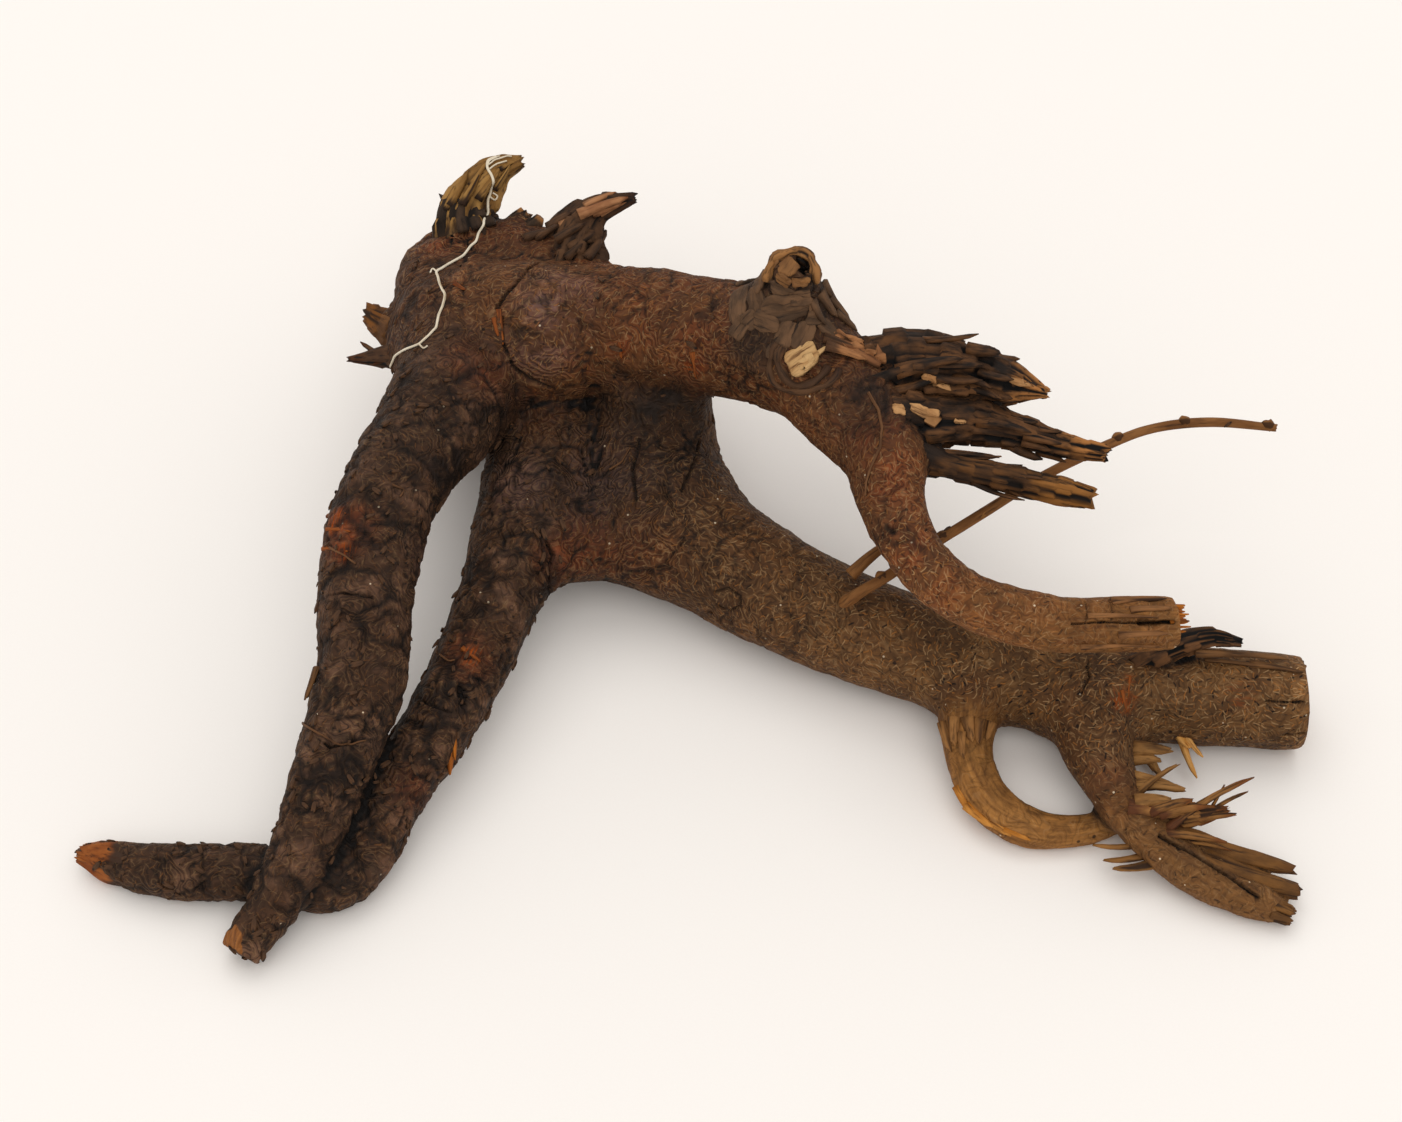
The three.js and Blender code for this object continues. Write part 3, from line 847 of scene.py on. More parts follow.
# Painted shade darkens the hollows, and a painted highlight makes the ridges lighter.
shade = mix(tree, fade(tree, hollow, 0.0, 0.9), shade, CRACK_AND_SHADE_DARK)
ridge_highlight = times(tree, fade(tree, hollow, -0.1, -1.0), 0.55)
shade = mix(tree, ridge_highlight, shade, shade, "ADD")
cut_share = calc(tree, "MULTIPLY_ADD", calc(tree, "SUBTRACT", fine_noise, 0.5), 0.9, stored(tree, "cut"))
cut_wood = mix(tree, fade(tree, streaks, 0.3, 0.7), colour(112, 70, 42), colour(156, 104, 64))
shade = mix(tree, fade(tree, cut_share, 0.35, 0.6), shade, cut_wood)
from_pith = calc_vector(tree, "SUBTRACT", calc_vector(tree, "MULTIPLY", place, (0, 1, 1)), SAWN_PITH)
ring_radius = calc_vector(tree, "LENGTH", stirred(tree, from_pith, 60.0, 0.004))
rings = calc(tree, "SINE", times(tree, ring_radius, 2400.0))
sawn_wood = mix(tree, fade(tree, rings, -0.6, 0.9), colour(128, 92, 58), colour(92, 62, 38))
sawn_wood = mix(tree, fade(tree, fine_noise, 0.5, 0.35), sawn_wood, colour(58, 40, 27))
shade = mix(tree, stored(tree, "sawn"), shade, sawn_wood)
tree.links.new(richer(tree, shade), shader.inputs["Base Color"])
tree.links.new(calc(tree, "MULTIPLY_ADD", fine_noise, 0.3, 0.55), shader.inputs["Roughness"])
shader.inputs["Specular IOR Level"].default_value = 0.15
height = calc(tree, "MULTIPLY_ADD", fine_noise, 0.5, times(tree, curls, rough_share))
height = calc(tree, "MULTIPLY_ADD", strokes, 0.5, height)
bump(tree, shader, height, 0.7 * MM)

wood_mesh.materials.clear()
wood_mesh.materials.append(bark)
wood_mesh.shade_smooth()
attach(wood_body, "root")
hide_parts("driftwood")

# Horn: a bare broken root that stands up from the back of the crown and curves over like a beak.
# It is ochre wood with lengthwise ridges, and black scorched pads of old bark sit round its foot.
RING_STEP = 1.7 * MM
END_SHARE = 0.25
DEEP_GROOVE = 0.26
TORN_ROUGHNESS = 0.75
TORN_SHINE = 0.2


class Shape:
    """Gathers tubes, lumps and slivers into one mesh, with each point's grain, dip and share along."""

    def __init__(self):
        self.points = []
        self.faces = []
        self.values = []

    def tube(self, centres, ups, sides, radii, lengths, slide=None, dips=None, seed=0.0):
        """A closed tube of rings: radii and slide along the tube have a row for each ring."""
        rings, count = radii.shape
        turns = 2 * np.pi * np.arange(count) / count
        ahead = np.cross(ups, sides)
        ring = np.cos(turns)[None, :, None] * ups[:, None] + np.sin(turns)[None, :, None] * sides[:, None]
        points = centres[:, None] + radii[..., None] * ring
        if slide is not None:
            points = points + slide[..., None] * ahead[:, None]
        start = len(self.points)
        self.points += [tuple(p) for p in points.reshape(-1, 3)]
        mean = radii.mean(axis=1, keepdims=True)
        dips = np.zeros_like(radii) if dips is None else dips
        for row in range(rings):
            for spoke in range(count):
                around = mean[row, 0] * np.array((np.cos(turns[spoke]), np.sin(turns[spoke])))
                self.values.append((*around, lengths[row] + seed, dips[row, spoke], row / (rings - 1)))
        for row in range(rings - 1):
            for spoke in range(count):
                after = (spoke + 1) % count
                low = start + row * count
                high = low + count
                self.faces.append((low + spoke, low + after, high + after, high + spoke))
        for row, turned in ((0, True), (rings - 1, False)):
            rim = [start + row * count + spoke for spoke in range(count)]
            middle = np.mean([self.points[i] for i in rim], axis=0)
            self.points.append(tuple(middle))
            self.values.append((0, 0, lengths[row] + seed, 0.3, row / (rings - 1)))
            hub = len(self.points) - 1
            for first, second in zip(rim, rim[1:] + rim[:1]):
                self.faces.append((second, first, hub) if turned else (first, second, hub))

    def limb(self, stations, seed=0, count=28, ridge=0.16, ridges=1.8, blocks=0.0, ragged=0.0, squash=1.0,
             step=RING_STEP):
        """A limb of bare wood with ridges along it, rough blocks on it and a ragged tip."""
        way = LimbWay(stations)
        rings = max(6, int(way.lengths[-1] / step))
        spots = np.linspace(0, way.lengths[-1], rings)
        where = np.interp(spots, way.lengths, np.arange(len(way.lengths)))
        centres, ups, sides = (way.at(rows, where) for rows in (way.places, way.ups, way.sides))
        girth = way.at(way.radii, where)
        turns = 2 * np.pi * np.arange(count) / count
        radii = np.empty((rings, count))
        slide = np.zeros((rings, count))
        dips = np.empty((rings, count))
        for row, spot in enumerate(spots):
            share = row / (rings - 1)
            for spoke, turn in enumerate(turns):
                at = Vector((ridges * math.cos(turn), ridges * math.sin(turn), spot / (45 * MM) + 7.3 * seed))
                fibre = 1.3 * noise.noise(at) + 0.7 * (0.25 - abs(noise.noise(2.3 * at)))
                block = noise.cell(Vector((3.1 * at.x, 3.1 * at.y, spot / (9 * MM) + seed)))
                flatten = 1 - (1 - squash) * abs(math.cos(turn))
                swell = ridge * fibre + blocks * (block - 0.3)
                radii[row, spoke] = girth[row] * flatten * (1 + swell)
                # Grooves get a dip that paints them darker, as painted shade.
                dips[row, spoke] = -swell / DEEP_GROOVE
                tear = noise.noise(Vector((2.6 * math.cos(turn), 2.6 * math.sin(turn), 3.7 * seed)))
                late = max(0, (share - 1 + END_SHARE) / END_SHARE)
                slide[row, spoke] = ragged * tear * late ** 2
        self.tube(centres, ups, sides, radii, spots, slide, dips, seed * 0.37)

    def lump(self, middle, along, out, size, seed=0, edge=0.7, rings=7, count=14):
        """A rounded chunk: half sizes along, across and out, with a broken, uneven skin."""
        along = Vector(along).normalized()
        out = (Vector(out) - Vector(out).dot(along) * along).normalized()
        across = out.cross(along)
        spots = np.linspace(-0.96, 0.96, rings)
        centres = np.array([Vector(middle) + size[0] * s * along for s in spots.tolist()])
        radii = np.empty((rings, count))
        dips = np.empty((rings, count))
        for row, spot in enumerate(spots):
            swell = (1 - abs(spot) ** 2.6) ** edge
            for spoke in range(count):
                turn = 2 * math.pi * spoke / count
                span = 1 / math.hypot(math.cos(turn) / size[2], math.sin(turn) / size[1])
                at = Vector((1.4 * math.cos(turn), 1.4 * math.sin(turn), 1.8 * spot + 5.1 * seed))
                rim = max(abs(spot), abs(math.sin(turn)) * span / size[1])
                # The dip paints the rim and the low spots darker, as painted shade.
                dips[row, spoke] = max(-noise.noise(at), (rim - 0.66) / 0.3)
                radii[row, spoke] = span * swell * (1 + 0.3 * noise.noise(at) + 0.12 * noise.cell(2 * at))
        ups = np.repeat([out], rings, axis=0)
        sides = np.repeat([across], rings, axis=0)
        self.tube(centres, ups, sides, radii, size[0] * spots, None, dips, seed * 0.37)

    def strand(self, places, radius, tip=None, count=7, seed=0):
        """A thin round fibre through a row of places."""
        tip = radius if tip is None else tip
        last = len(places) - 1
        girths = [(radius + (tip - radius) * number / last) / MM for number in range(len(places))]
        way = LimbWay([[*(Vector(place) / MM), girth] for place, girth in zip(places, girths)])
        radii = np.repeat(way.radii[:, None], count, axis=1)
        self.tube(way.places, way.ups, way.sides, radii, way.lengths, seed=seed * 0.37)

    def splinter(self, base, tip, width, thick=0.4, seed=0, bend=0.0, end=0.12):
        """A flat torn sliver with a blunt foot and a tip that narrows to a share of its width."""
        base, tip = Vector(base), Vector(tip)
        run = tip - base
        sway = run.orthogonal().normalized() * bend * run.length
        rows = []
        for share in (0, 0.3, 0.6, 0.85, 1):
            middle = base + share * run + 4 * share * (1 - share) * sway
            wide = width * (1 - 0.55 * share) * (end if share == 1 else 1)
            rows.append([*(middle / MM), wide / MM])
        self.limb(rows, seed, count=7, ridge=0.35, ridges=1.3, squash=thick, step=4 * MM, ragged=6 * end * MM)

    def mesh(self, name):
        """The gathered shape as a plain mesh that holds its points' values."""
        mesh = bpy.data.meshes.new(name)
        mesh.from_pydata(self.points, [], self.faces)
        values = np.array(self.values)
        set_values(mesh, "grain", values[:, :3])
        set_values(mesh, "dip", values[:, 3])
        set_values(mesh, "share", values[:, 4])
        return mesh

    def finish(self, name, material, slot):
        """Makes the gathered shape one piece that stays above the table and rides with the wood."""
        points = np.array(self.points)
        points[:, 2] = np.maximum(points[:, 2], 0)
        self.points = points.tolist()
        mesh = self.mesh(name)
        mesh.materials.append(material)
        mesh.shade_smooth()
        piece = put(name, mesh)
        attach(piece, "root")
        seen_trees.append(mesh_tree(mesh))
        return piece


def limb_piece(name, stations, wood, slot, **look):
    """One limb as a piece of its own."""
    shape = Shape()
    shape.limb(stations, **look)
    shape.finish(name, wood, slot)


def torn_wood(name, dark, middle, pale, tip=None, tip_from=0.8, foot=None, foot_to=0.2):
    """Bare wood with fine streaks along its grain, grooves and rims painted darker as painted shade, and a
    tip or foot of its own colour.
    """
    material, tree, shader = material_tree(name)
    grain_at = stored(tree, "grain", "Vector")
    long_grain = calc_vector(tree, "MULTIPLY", grain_at, (1.0, 1.0, 0.1))
    fine = noise_of(tree, long_grain, 520.0, 4.0, 0.62)[0]
    broad = noise_of(tree, calc_vector(tree, "MULTIPLY", grain_at, (1.0, 1.0, 0.4)), 110.0, 3.0, 0.6)[0]
    shade = mix(tree, fade(tree, broad, 0.34, 0.66), middle, pale)
    share = stored(tree, "share")
    ragged = calc(tree, "MULTIPLY_ADD", calc(tree, "SUBTRACT", broad, 0.5), 0.5, share)
    if tip:
        shade = mix(tree, fade(tree, ragged, tip_from - 0.1, tip_from + 0.1), shade, tip)
    if foot:
        shade = mix(tree, fade(tree, ragged, foot_to + 0.1, foot_to - 0.1), shade, foot)
    shade = mix(tree, fade(tree, fine, 0.5, 0.28), shade, dark)
    # Painted shade: the deeper a point dips into a groove or under a rim, the darker it is painted.
    shade = mix(tree, fade(tree, stored(tree, "dip"), 0.1, 0.9), shade, dark)
    tree.links.new(richer(tree, shade), shader.inputs["Base Color"])
    shader.inputs["Roughness"].default_value = TORN_ROUGHNESS
    shader.inputs["Specular IOR Level"].default_value = TORN_SHINE
    bump(tree, shader, calc(tree, "ADD", fine, times(tree, broad, 0.6)), 0.6 * MM)
    return material


OCHRE = colour(122, 88, 50)
OCHRE_PALE = colour(162, 124, 76)
SOOT = colour(26, 20, 16)
UMBER = colour(52, 35, 23)
TAN = colour(160, 112, 70)
TORN_ORANGE = colour(146, 86, 46)

horn_wood = torn_wood("horn_wood", UMBER, OCHRE, OCHRE_PALE, foot=colour(46, 32, 22), foot_to=0.14)
limb_piece("horn", LIMBS["horn"], horn_wood, "bare_wood",
           seed=3, count=40, ridge=0.3, ridges=2.3, ragged=6 * MM, blocks=0.05, squash=0.92)

scorched = torn_wood("scorched_bark", SOOT, colour(44, 34, 26), colour(66, 49, 36))
HORN_FOOT = [[-133, 203, 102.5, 22], [-135, 209, 107, 20.5], [-135, 214, 111, 19], [-134, 217, 113.5, 17.2]]
limb_piece("horn_pads", HORN_FOOT, scorched, "charred_wood",
           seed=14, count=40, ridge=0.1, ridges=2.6, blocks=0.22, ragged=4 * MM)

# Spike and crown stub: two broken roots beside the horn, the spike with a pale pinkish tip and the
# stub scorched black with a fresh tan break. Both are the stumps of roots that snapped off, and
# torn strips of the same wood stand on the spike and the horn.
spike_bark = torn_wood("spike_bark", SOOT, colour(64, 45, 32), colour(92, 65, 45),
                       tip=colour(58, 38, 26), tip_from=0.9)
limb_piece("spike", LIMBS["spike"], spike_bark, "bark",
           seed=8, count=32, ridge=0.3, ridges=2.1, ragged=5 * MM, blocks=0.16)
STRIP_FOOT_LIFT = 0.4 * MM


def surface_strips(shape, strips, seed, thick=0.5):
    """Slivers that lie on the wood: foot and head pixels, width, and lift of the head in millimetres."""
    for number, (foot, head, width, lift) in enumerate(strips):
        base, out = seen(*foot)
        tip, tip_out = seen(*head)
        base = base + STRIP_FOOT_LIFT * out
        tip = tip + lift * MM * tip_out
        shape.splinter(base, tip, width * MM, thick, seed + number, bend=0.02)


def strip_piece(name, strips, wood, slot, seed, thick=0.5):
    """Slivers that lie on the wood as a piece of their own."""
    shape = Shape()
    surface_strips(shape, strips, seed, thick)
    shape.finish(name, wood, slot)


spike_wood = torn_wood("spike_wood", UMBER, colour(136, 92, 64), colour(180, 132, 96),
                       tip=colour(112, 64, 40), tip_from=0.95)
SPIKE_STRIPS = [
    ((578, 214), (628, 196), 4.6, 1.5), ((592, 214), (622, 201), 4.0, 1.0),
    ((584, 206), (616, 191), 3.6, 0.5), ((560, 226), (592, 210), 4.0, 1.0),
    ((601, 216), (632, 198), 2.4, 1.0)]
strip_piece("spike_strips", SPIKE_STRIPS, spike_wood, "bare_wood", seed=200)
HORN_STRIPS = [
    ((450, 206), (468, 172), 3.2, 1.0), ((462, 205), (482, 168), 3.4, 0.8),
    ((500, 170), (521, 157), 2.6, 1.0), ((446, 210), (455, 188), 2.8, 1.5),
    ((478, 200), (500, 168), 3.4, 0.8), ((494, 190), (510, 166), 3.0, 1.2),
    ((470, 186), (488, 162), 2.8, 0.8)]
strip_piece("horn_strips", HORN_STRIPS, horn_wood, "bare_wood", seed=220, thick=0.4)
SPIKE_FLAKES = [
    ((548, 228), (572, 214), 4.4, 2.0), ((556, 240), (586, 224), 4.6, 2.0),
    ((570, 250), (592, 232), 4.8, 2.0), ((584, 258), (600, 238), 4.4, 1.5),
    ((592, 250), (606, 230), 3.8, 1.5), ((538, 238), (560, 226), 4.0, 1.5),
    ((525, 238), (548, 231), 3.6, 1.0), ((565, 258), (582, 244), 4.2, 1.0)]
strip_piece("spike_flakes", SPIKE_FLAKES, spike_bark, "bark", seed=210)
stub_wood = torn_wood("stub_wood", SOOT, colour(50, 38, 28), colour(76, 56, 40), tip=TAN, tip_from=0.93)
crown_stub = Shape()
crown_stub.limb(LIMBS["crownStub"], seed=5, count=22, ridge=0.25, blocks=0.2, ragged=3 * MM)
STUB_PRONG = [[-100, 196, 110, 6], [-95, 199, 116, 5], [-92, 201, 120, 3]]
crown_stub.limb(STUB_PRONG, seed=6, count=14, ridge=0.25, blocks=0.2)
crown_stub.finish("crown_stub", stub_wood, "charred_wood")

# Thorns: two short snapped roots on the left of the crown, grown from it and broken off.
# The upper one is torn to brown fibres, and the lower one is dark with a few splinters at its end.
thorn_wood = torn_wood("thorn_wood", UMBER, colour(84, 56, 36), colour(112, 76, 46),
                       tip=colour(118, 76, 42), tip_from=0.6)
limb_piece("upper_thorn", LIMBS["upperThorn"], thorn_wood, "fresh_break",
           seed=2, count=24, ridge=0.3, ragged=6 * MM, blocks=0.25)
dark_thorn_wood = torn_wood("dark_thorn_wood", SOOT, colour(62, 43, 31), colour(92, 64, 44),
                            tip=colour(78, 48, 30), tip_from=0.8)
lower_thorn = Shape()
lower_thorn.limb(LIMBS["lowerThorn"], seed=4, count=26, ridge=0.3, ragged=3 * MM, blocks=0.12)
THORN_SPLINTERS = 3
for number in range(THORN_SPLINTERS):
    base = Vector((-0.182, 0.118, 0.088)) + number * Vector((0.004, 0, 0.001))
    tip = base + Vector((-0.012, 0.008 - 0.007 * number, 0.004 - 0.003 * number))
    lower_thorn.splinter(base, tip, 3.2 * MM, seed=number + 11)
lower_thorn.finish("lower_thorn", dark_thorn_wood, "bark")

# Fan: a third root that rotted and burnt to a fan of splinters, black blocks with brown ridges,
# some tips tan where the sound wood shows. It grows out of the bend of the upper stem.
fan_wood = torn_wood("fan_wood", colour(10, 8, 7), colour(34, 25, 19), colour(108, 74, 48))
fan_tip_wood = torn_wood("fan_tip_wood", colour(12, 9, 8), colour(34, 25, 19), colour(104, 71, 46),
                         tip=colour(168, 116, 72), tip_from=0.86)
limb_piece("fan_top", LIMBS["fanTop"], fan_tip_wood, "charred_wood",
           seed=21, count=44, ridge=0.24, ridges=2.4, blocks=0.16, ragged=7 * MM, squash=0.9)
limb_piece("fan_middle", LIMBS["fanMiddle"], fan_tip_wood, "charred_wood",
           seed=22, count=32, ridge=0.26, ridges=1.9, blocks=0.2, ragged=5 * MM)
fan_low_wood = torn_wood("fan_low_wood", colour(22, 16, 12), colour(66, 45, 29), colour(104, 70, 42),
                         tip=colour(146, 100, 58), tip_from=0.74, foot=colour(40, 29, 22), foot_to=0.35)
limb_piece("fan_low", LIMBS["fanLow"], fan_low_wood, "charred_wood",
           seed=23, count=28, ridge=0.26, ridges=1.7, blocks=0.16, ragged=5 * MM)

# Splinters of the fan: slivers of the same burnt wood, black with brown ridges.
# They run with its three arms, grown to them at the foot and loose at the tip.
fan_random = random.Random(4)
fan_splinters = Shape()
for name, count, wide in (("fanTop", 22, 5.0), ("fanMiddle", 14, 3.6), ("fanLow", 9, 2.8)):
    way = ways[name]
    for number in range(count):
        share = fan_random.uniform(0.1, 0.72)
        turn = fan_random.uniform(0, 2 * math.pi)
        where = np.array([share * (len(way.places) - 1)])
        out = math.cos(turn) * way.at(way.ups, where)[0] + math.sin(turn) * way.at(way.sides, where)[0]
        base = way.at(way.places, where)[0] + 0.92 * way.at(way.radii, where)[0] * out
        aside = 0.1 * np.array((0, fan_random.uniform(-1, 1), 0))
        ahead = way.at(way.tangents, where)[0] + 0.16 * out + aside
        length = fan_random.uniform(14, 34) * MM * (1.15 - share)
        width = wide * fan_random.uniform(0.6, 1.1) * MM
        bend = fan_random.uniform(-0.05, 0.05)
        fan_splinters.splinter(base - 6 * MM * ahead, base + length * ahead, width, 0.5, 100 + number, bend)
fan_splinters.finish("fan_splinters", fan_wood, "charred_wood")

# Fingers: the low root splits at its end into three blunt fingers of bare brown wood with dark slits
# between them, grown as one with the root and frayed at their ends. A fourth one is broken off short.
finger_wood = torn_wood("finger_wood", UMBER, colour(92, 63, 37), colour(124, 86, 50),
                        tip=colour(96, 62, 36), tip_from=0.95)
fingers = Shape()
for number, name in enumerate(("upperFinger", "middleFinger")):
    fingers.limb(LIMBS[name], seed=31 + number, count=22, ridge=0.26, ridges=1.7, ragged=4 * MM)
finger_end = ways["fingerRoot"]
for number in range(7):
    turn = 0.9 * number
    out = math.cos(turn) * Vector(finger_end.ups[-1]) + math.sin(turn) * Vector(finger_end.sides[-1])
    base = Vector(finger_end.places[-1]) + 4.5 * MM * out
    ahead = Vector(finger_end.tangents[-1])
    reach = (2.5 + math.sin(3 * number)) * MM
    fingers.splinter(base - 9 * MM * ahead, base + reach * ahead, 3.4 * MM, 0.7, 240 + number)
fingers.finish("fingers", finger_wood, "bare_wood")
broken_wood = torn_wood("broken_wood", UMBER, colour(112, 77, 46), colour(154, 110, 68),
                        tip=colour(116, 72, 42), foot=colour(92, 56, 36), foot_to=0.22)
limb_piece("broken_finger", LIMBS["brokenFinger"], broken_wood, "fresh_break",
           seed=36, count=24, ridge=0.34, blocks=0.2, ragged=5 * MM)

# Charred stub: the burnt end of a small root behind the tip of the upper stem.
# It is black, ragged wood that grows out of the main stem.
limb_piece("charred_stub", LIMBS["charredStub"], fan_wood, "charred_wood",
           seed=41, count=24, ridge=0.3, blocks=0.3, ragged=5 * MM)

# Thin root: a long dry root a little thinner than a pencil, brown and smooth, with small knuckles.
# It springs from the main stem and passes behind the upper stem and the fan.
twig_wood = torn_wood("twig_wood", colour(66, 42, 24), colour(112, 74, 44), colour(140, 98, 62))
thin_root = Shape()
thin_root.limb(LIMBS["thinRoot"], seed=51, count=14, ridge=0.1, ridges=1.0, ragged=2 * MM)
KNUCKLE_SIZE = (4.2 * MM, 3.2 * MM, 3.2 * MM)
twig_way = ways["thinRoot"]
for number, share in enumerate((0.2, 0.34, 0.52, 0.7, 0.84, 0.985)):
    where = np.array([share * (len(twig_way.places) - 1)])
    knuckle, ahead = (Vector(twig_way.at(rows, where)[0]) for rows in (twig_way.places, twig_way.tangents))
    side = ahead.orthogonal()
    thin_root.lump(knuckle + 0.8 * MM * side, ahead, side, KNUCKLE_SIZE, seed=52 + number, count=10)
thin_root.finish("thin_root", twig_wood, "bare_wood")

# Knot: the healed stump of a branch on the upper stem. Rounded plates of bark overlap round it, and
# its top is a tan collar round a dark hollow. Below it a snapped branch shows cream wood, and a slab
# of torn wood has lifted from the stem beside it.
SCALE_SPOKES = 24
# Rings of a scale: each gives its share of the scale's size and its dip, which paints the rim darker as
# painted shade.
SCALE_RINGS = [(0.3, 0.1), (0.6, 0.0), (0.82, 0.0), (0.95, 0.1), (1.0, 0.5), (1.03, 1.0)]
SCALE_DEPTH = 1.4 * MM
SCALE_BLUNT = 3.5


def bark_scale(shape, across, down, long, wide, turn, lift, seed):
    """A thin scale that hugs the wood: pixel, half sizes and lift in millimetres, turn in degrees."""
    place, normal = seen(across, down)
    under = min(seen_trees, key=lambda tree: tree.find_nearest(place)[3])
    level = Vector((1, 0, 0))
    level = (level - level.dot(normal) * normal).normalized()
    rise = normal.cross(level)
    turn = math.radians(turn)
    along = math.cos(turn) * level + math.sin(turn) * rise
    beside = normal.cross(along)

    def skin_point(first, second, height):
        spot, out, _, _ = under.find_nearest(place + first * MM * along + second * MM * beside)
        return spot + height * out

    start = len(shape.points)
    for share, dip in SCALE_RINGS:
        for spoke in range(SCALE_SPOKES):
            angle = 2 * math.pi * spoke / SCALE_SPOKES
            corner = Vector((math.cos(angle), math.sin(angle), 3.3 * seed))
            powers = abs(math.cos(angle)) ** SCALE_BLUNT + abs(math.sin(angle)) ** SCALE_BLUNT
            blunt = powers ** (-1 / SCALE_BLUNT)
            span = share * blunt * (1 + 0.35 * noise.noise(1.1 * corner) + 0.12 * noise.noise(4 * corner))
            first = span * long * math.cos(angle)
            second = span * wide * math.sin(angle)
            tilt = 0.45 * share * math.cos(angle - seed)
            face = lift * MM * (0.8 + tilt + 0.5 * noise.noise(2.2 * share * corner))
            height = face * (1 - dip) - SCALE_DEPTH * dip ** 3
            shape.points.append(tuple(skin_point(first, second, height)))
            shape.values.append((second * MM, 0, first * MM + 0.37 * seed, dip, share))
    for height, dip in ((0.8 * lift * MM, 0), (-SCALE_DEPTH, 1)):
        shape.points.append(tuple(skin_point(0, 0, height)))
        shape.values.append((0, 0, 0.37 * seed, dip, 0))
    top, bottom = len(shape.points) - 2, len(shape.points) - 1
    outer = start + (len(SCALE_RINGS) - 1) * SCALE_SPOKES
    for spoke in range(SCALE_SPOKES):
        after = (spoke + 1) % SCALE_SPOKES
        shape.faces.append((top, start + spoke, start + after))
        shape.faces.append((bottom, outer + after, outer + spoke))
        for low in range(start, outer, SCALE_SPOKES):
            high = low + SCALE_SPOKES
            shape.faces.append((low + spoke, high + spoke, high + after, low + after))


def stations_of(places, girths):
    """The stations of a limb through places, with a radius in millimetres for each."""
    return [[*(place / MM), girth] for place, girth in zip(places, girths)]


CHIP_LIFT = 1.6
plate_bark = torn_wood("plate_bark", SOOT, colour(72, 54, 40), colour(110, 82, 60))
KNOT_PLATES = [
    (739, 302, 11, 5.5, 80), (756, 300, 7.0, 5.6, 90), (785, 308, 11, 7.5, 15),
    (780, 291, 6.5, 3.6, -25), (760, 280, 5.6, 5.0, 50), (771, 268, 4.0, 3.6, 60),
    (786, 333, 6.6, 5.0, 65), (802, 336, 6.2, 5.0, 65), (767, 323, 6.4, 4.4, -20),
    (813, 306, 4.2, 2.8, -45), (815, 318, 4.8, 3.4, -10), (801, 297, 5.2, 4.0, 0),
    (740, 328, 5.6, 4.6, 40), (826, 328, 5.0, 3.2, -40), (752, 319, 5.0, 4.0, 30),
    (777, 348, 5.0, 3.8, 70), (746, 283, 5.6, 4.6, 70)]
knot_plates = Shape()
for number, (across, down, long, wide, turn) in enumerate(KNOT_PLATES):
    bark_scale(knot_plates, across, down, 1.2 * long, 1.2 * wide, turn, 1.2 + 0.5 * (number % 3), number)
KNOT_FLAKES = [
    ((824, 282), (838, 306), 3.6, 1.0), ((830, 298), (848, 322), 4.0, 1.5),
    ((820, 292), (836, 318), 4.0, 1.0), ((836, 312), (856, 332), 3.6, 1.0),
    ((812, 300), (826, 326), 3.6, 0.8)]
surface_strips(knot_plates, KNOT_FLAKES, 300)
knot_plates.finish("knot_plates", plate_bark, "bark")

collar_wood = torn_wood("collar_wood", colour(38, 26, 18), colour(114, 80, 52), colour(158, 114, 74))
KNOT_LIP = [(768, 282), (770, 267), (778, 257), (790, 252), (801, 251), (810, 256), (815, 268), (816, 282)]
KNOT_CAP = [(788, 267, 6.0, 5.4, 60), (801, 281, 5.2, 4.4, -30), (775, 262, 4.4, 3.6, 40),
            (783, 280, 5.0, 3.4, -20)]
knot_collar = Shape()
lip_places = traced(KNOT_LIP, 0.2 * MM, 8)
lip_girths = [2.8 + 0.9 * math.sin(1.9 * number) for number in range(len(lip_places))]
knot_collar.limb(stations_of(lip_places, lip_girths), seed=20, count=18, ridge=0.14, ridges=1.3, blocks=0.15)
for number, scale in enumerate(KNOT_CAP):
    bark_scale(knot_collar, *scale, CHIP_LIFT, 30 + number)
knot_collar.finish("knot_collar", collar_wood, "bare_wood")
# Painted shade: a black lump of the scorched wood sits deep in the knot's hollow and darkens it.
KNOT_HOLLOW = (803, 263)
place, normal = seen(*KNOT_HOLLOW)
knot_hollow = Shape()
knot_hollow.lump(place, (0.5, 0.2, -0.8), normal, (5.5 * MM, 3.4 * MM, 1.6 * MM), seed=27)
knot_hollow.finish("knot_hollow", fan_wood, "charred_wood")

cream_wood = torn_wood("cream_wood", colour(104, 72, 46), colour(174, 134, 92), colour(204, 168, 122))
SNAPPED_BRANCH = (803, 358)
place, normal = seen(*SNAPPED_BRANCH)
snapped_branch = Shape()
bark_scale(snapped_branch, *SNAPPED_BRANCH, 8.6, 6.8, 35, 3.4, 61)
bark_scale(snapped_branch, SNAPPED_BRANCH[0] + 2, SNAPPED_BRANCH[1] + 5, 5.6, 4.2, 20, 4.6, 62)
branch_foot = place + Vector((0.005, 0, 0))
snapped_branch.splinter(branch_foot, place + Vector((0.013, 0.003, 0.006)), 3 * MM, seed=62)
snapped_branch.finish("snapped_branch", cream_wood, "fresh_break")
branch_lips = Shape()
for number, (wide, tall, thick) in enumerate(((26, 23, 2.6), (35, 31, 2.0))):
    turns = [math.radians(140 + 13 * step) for step in range(17)]
    spans = [1 + 0.07 * math.sin(3.1 * turn + 2 * number) for turn in turns]
    pixels = [
        (SNAPPED_BRANCH[0] + wide * span * math.cos(turn),
         SNAPPED_BRANCH[1] + 4 - tall * span * math.sin(turn))
        for turn, span in zip(turns, spans)]
    places = traced(pixels, -0.5 * MM, 8)
    girths = [thick + 0.5 * math.sin(1.3 * step + number) for step in range(len(places))]
    branch_lips.limb(stations_of(places, girths), seed=65 + number, count=12, ridge=0.25)
branch_lips.finish("branch_lips", spike_bark, "bark")

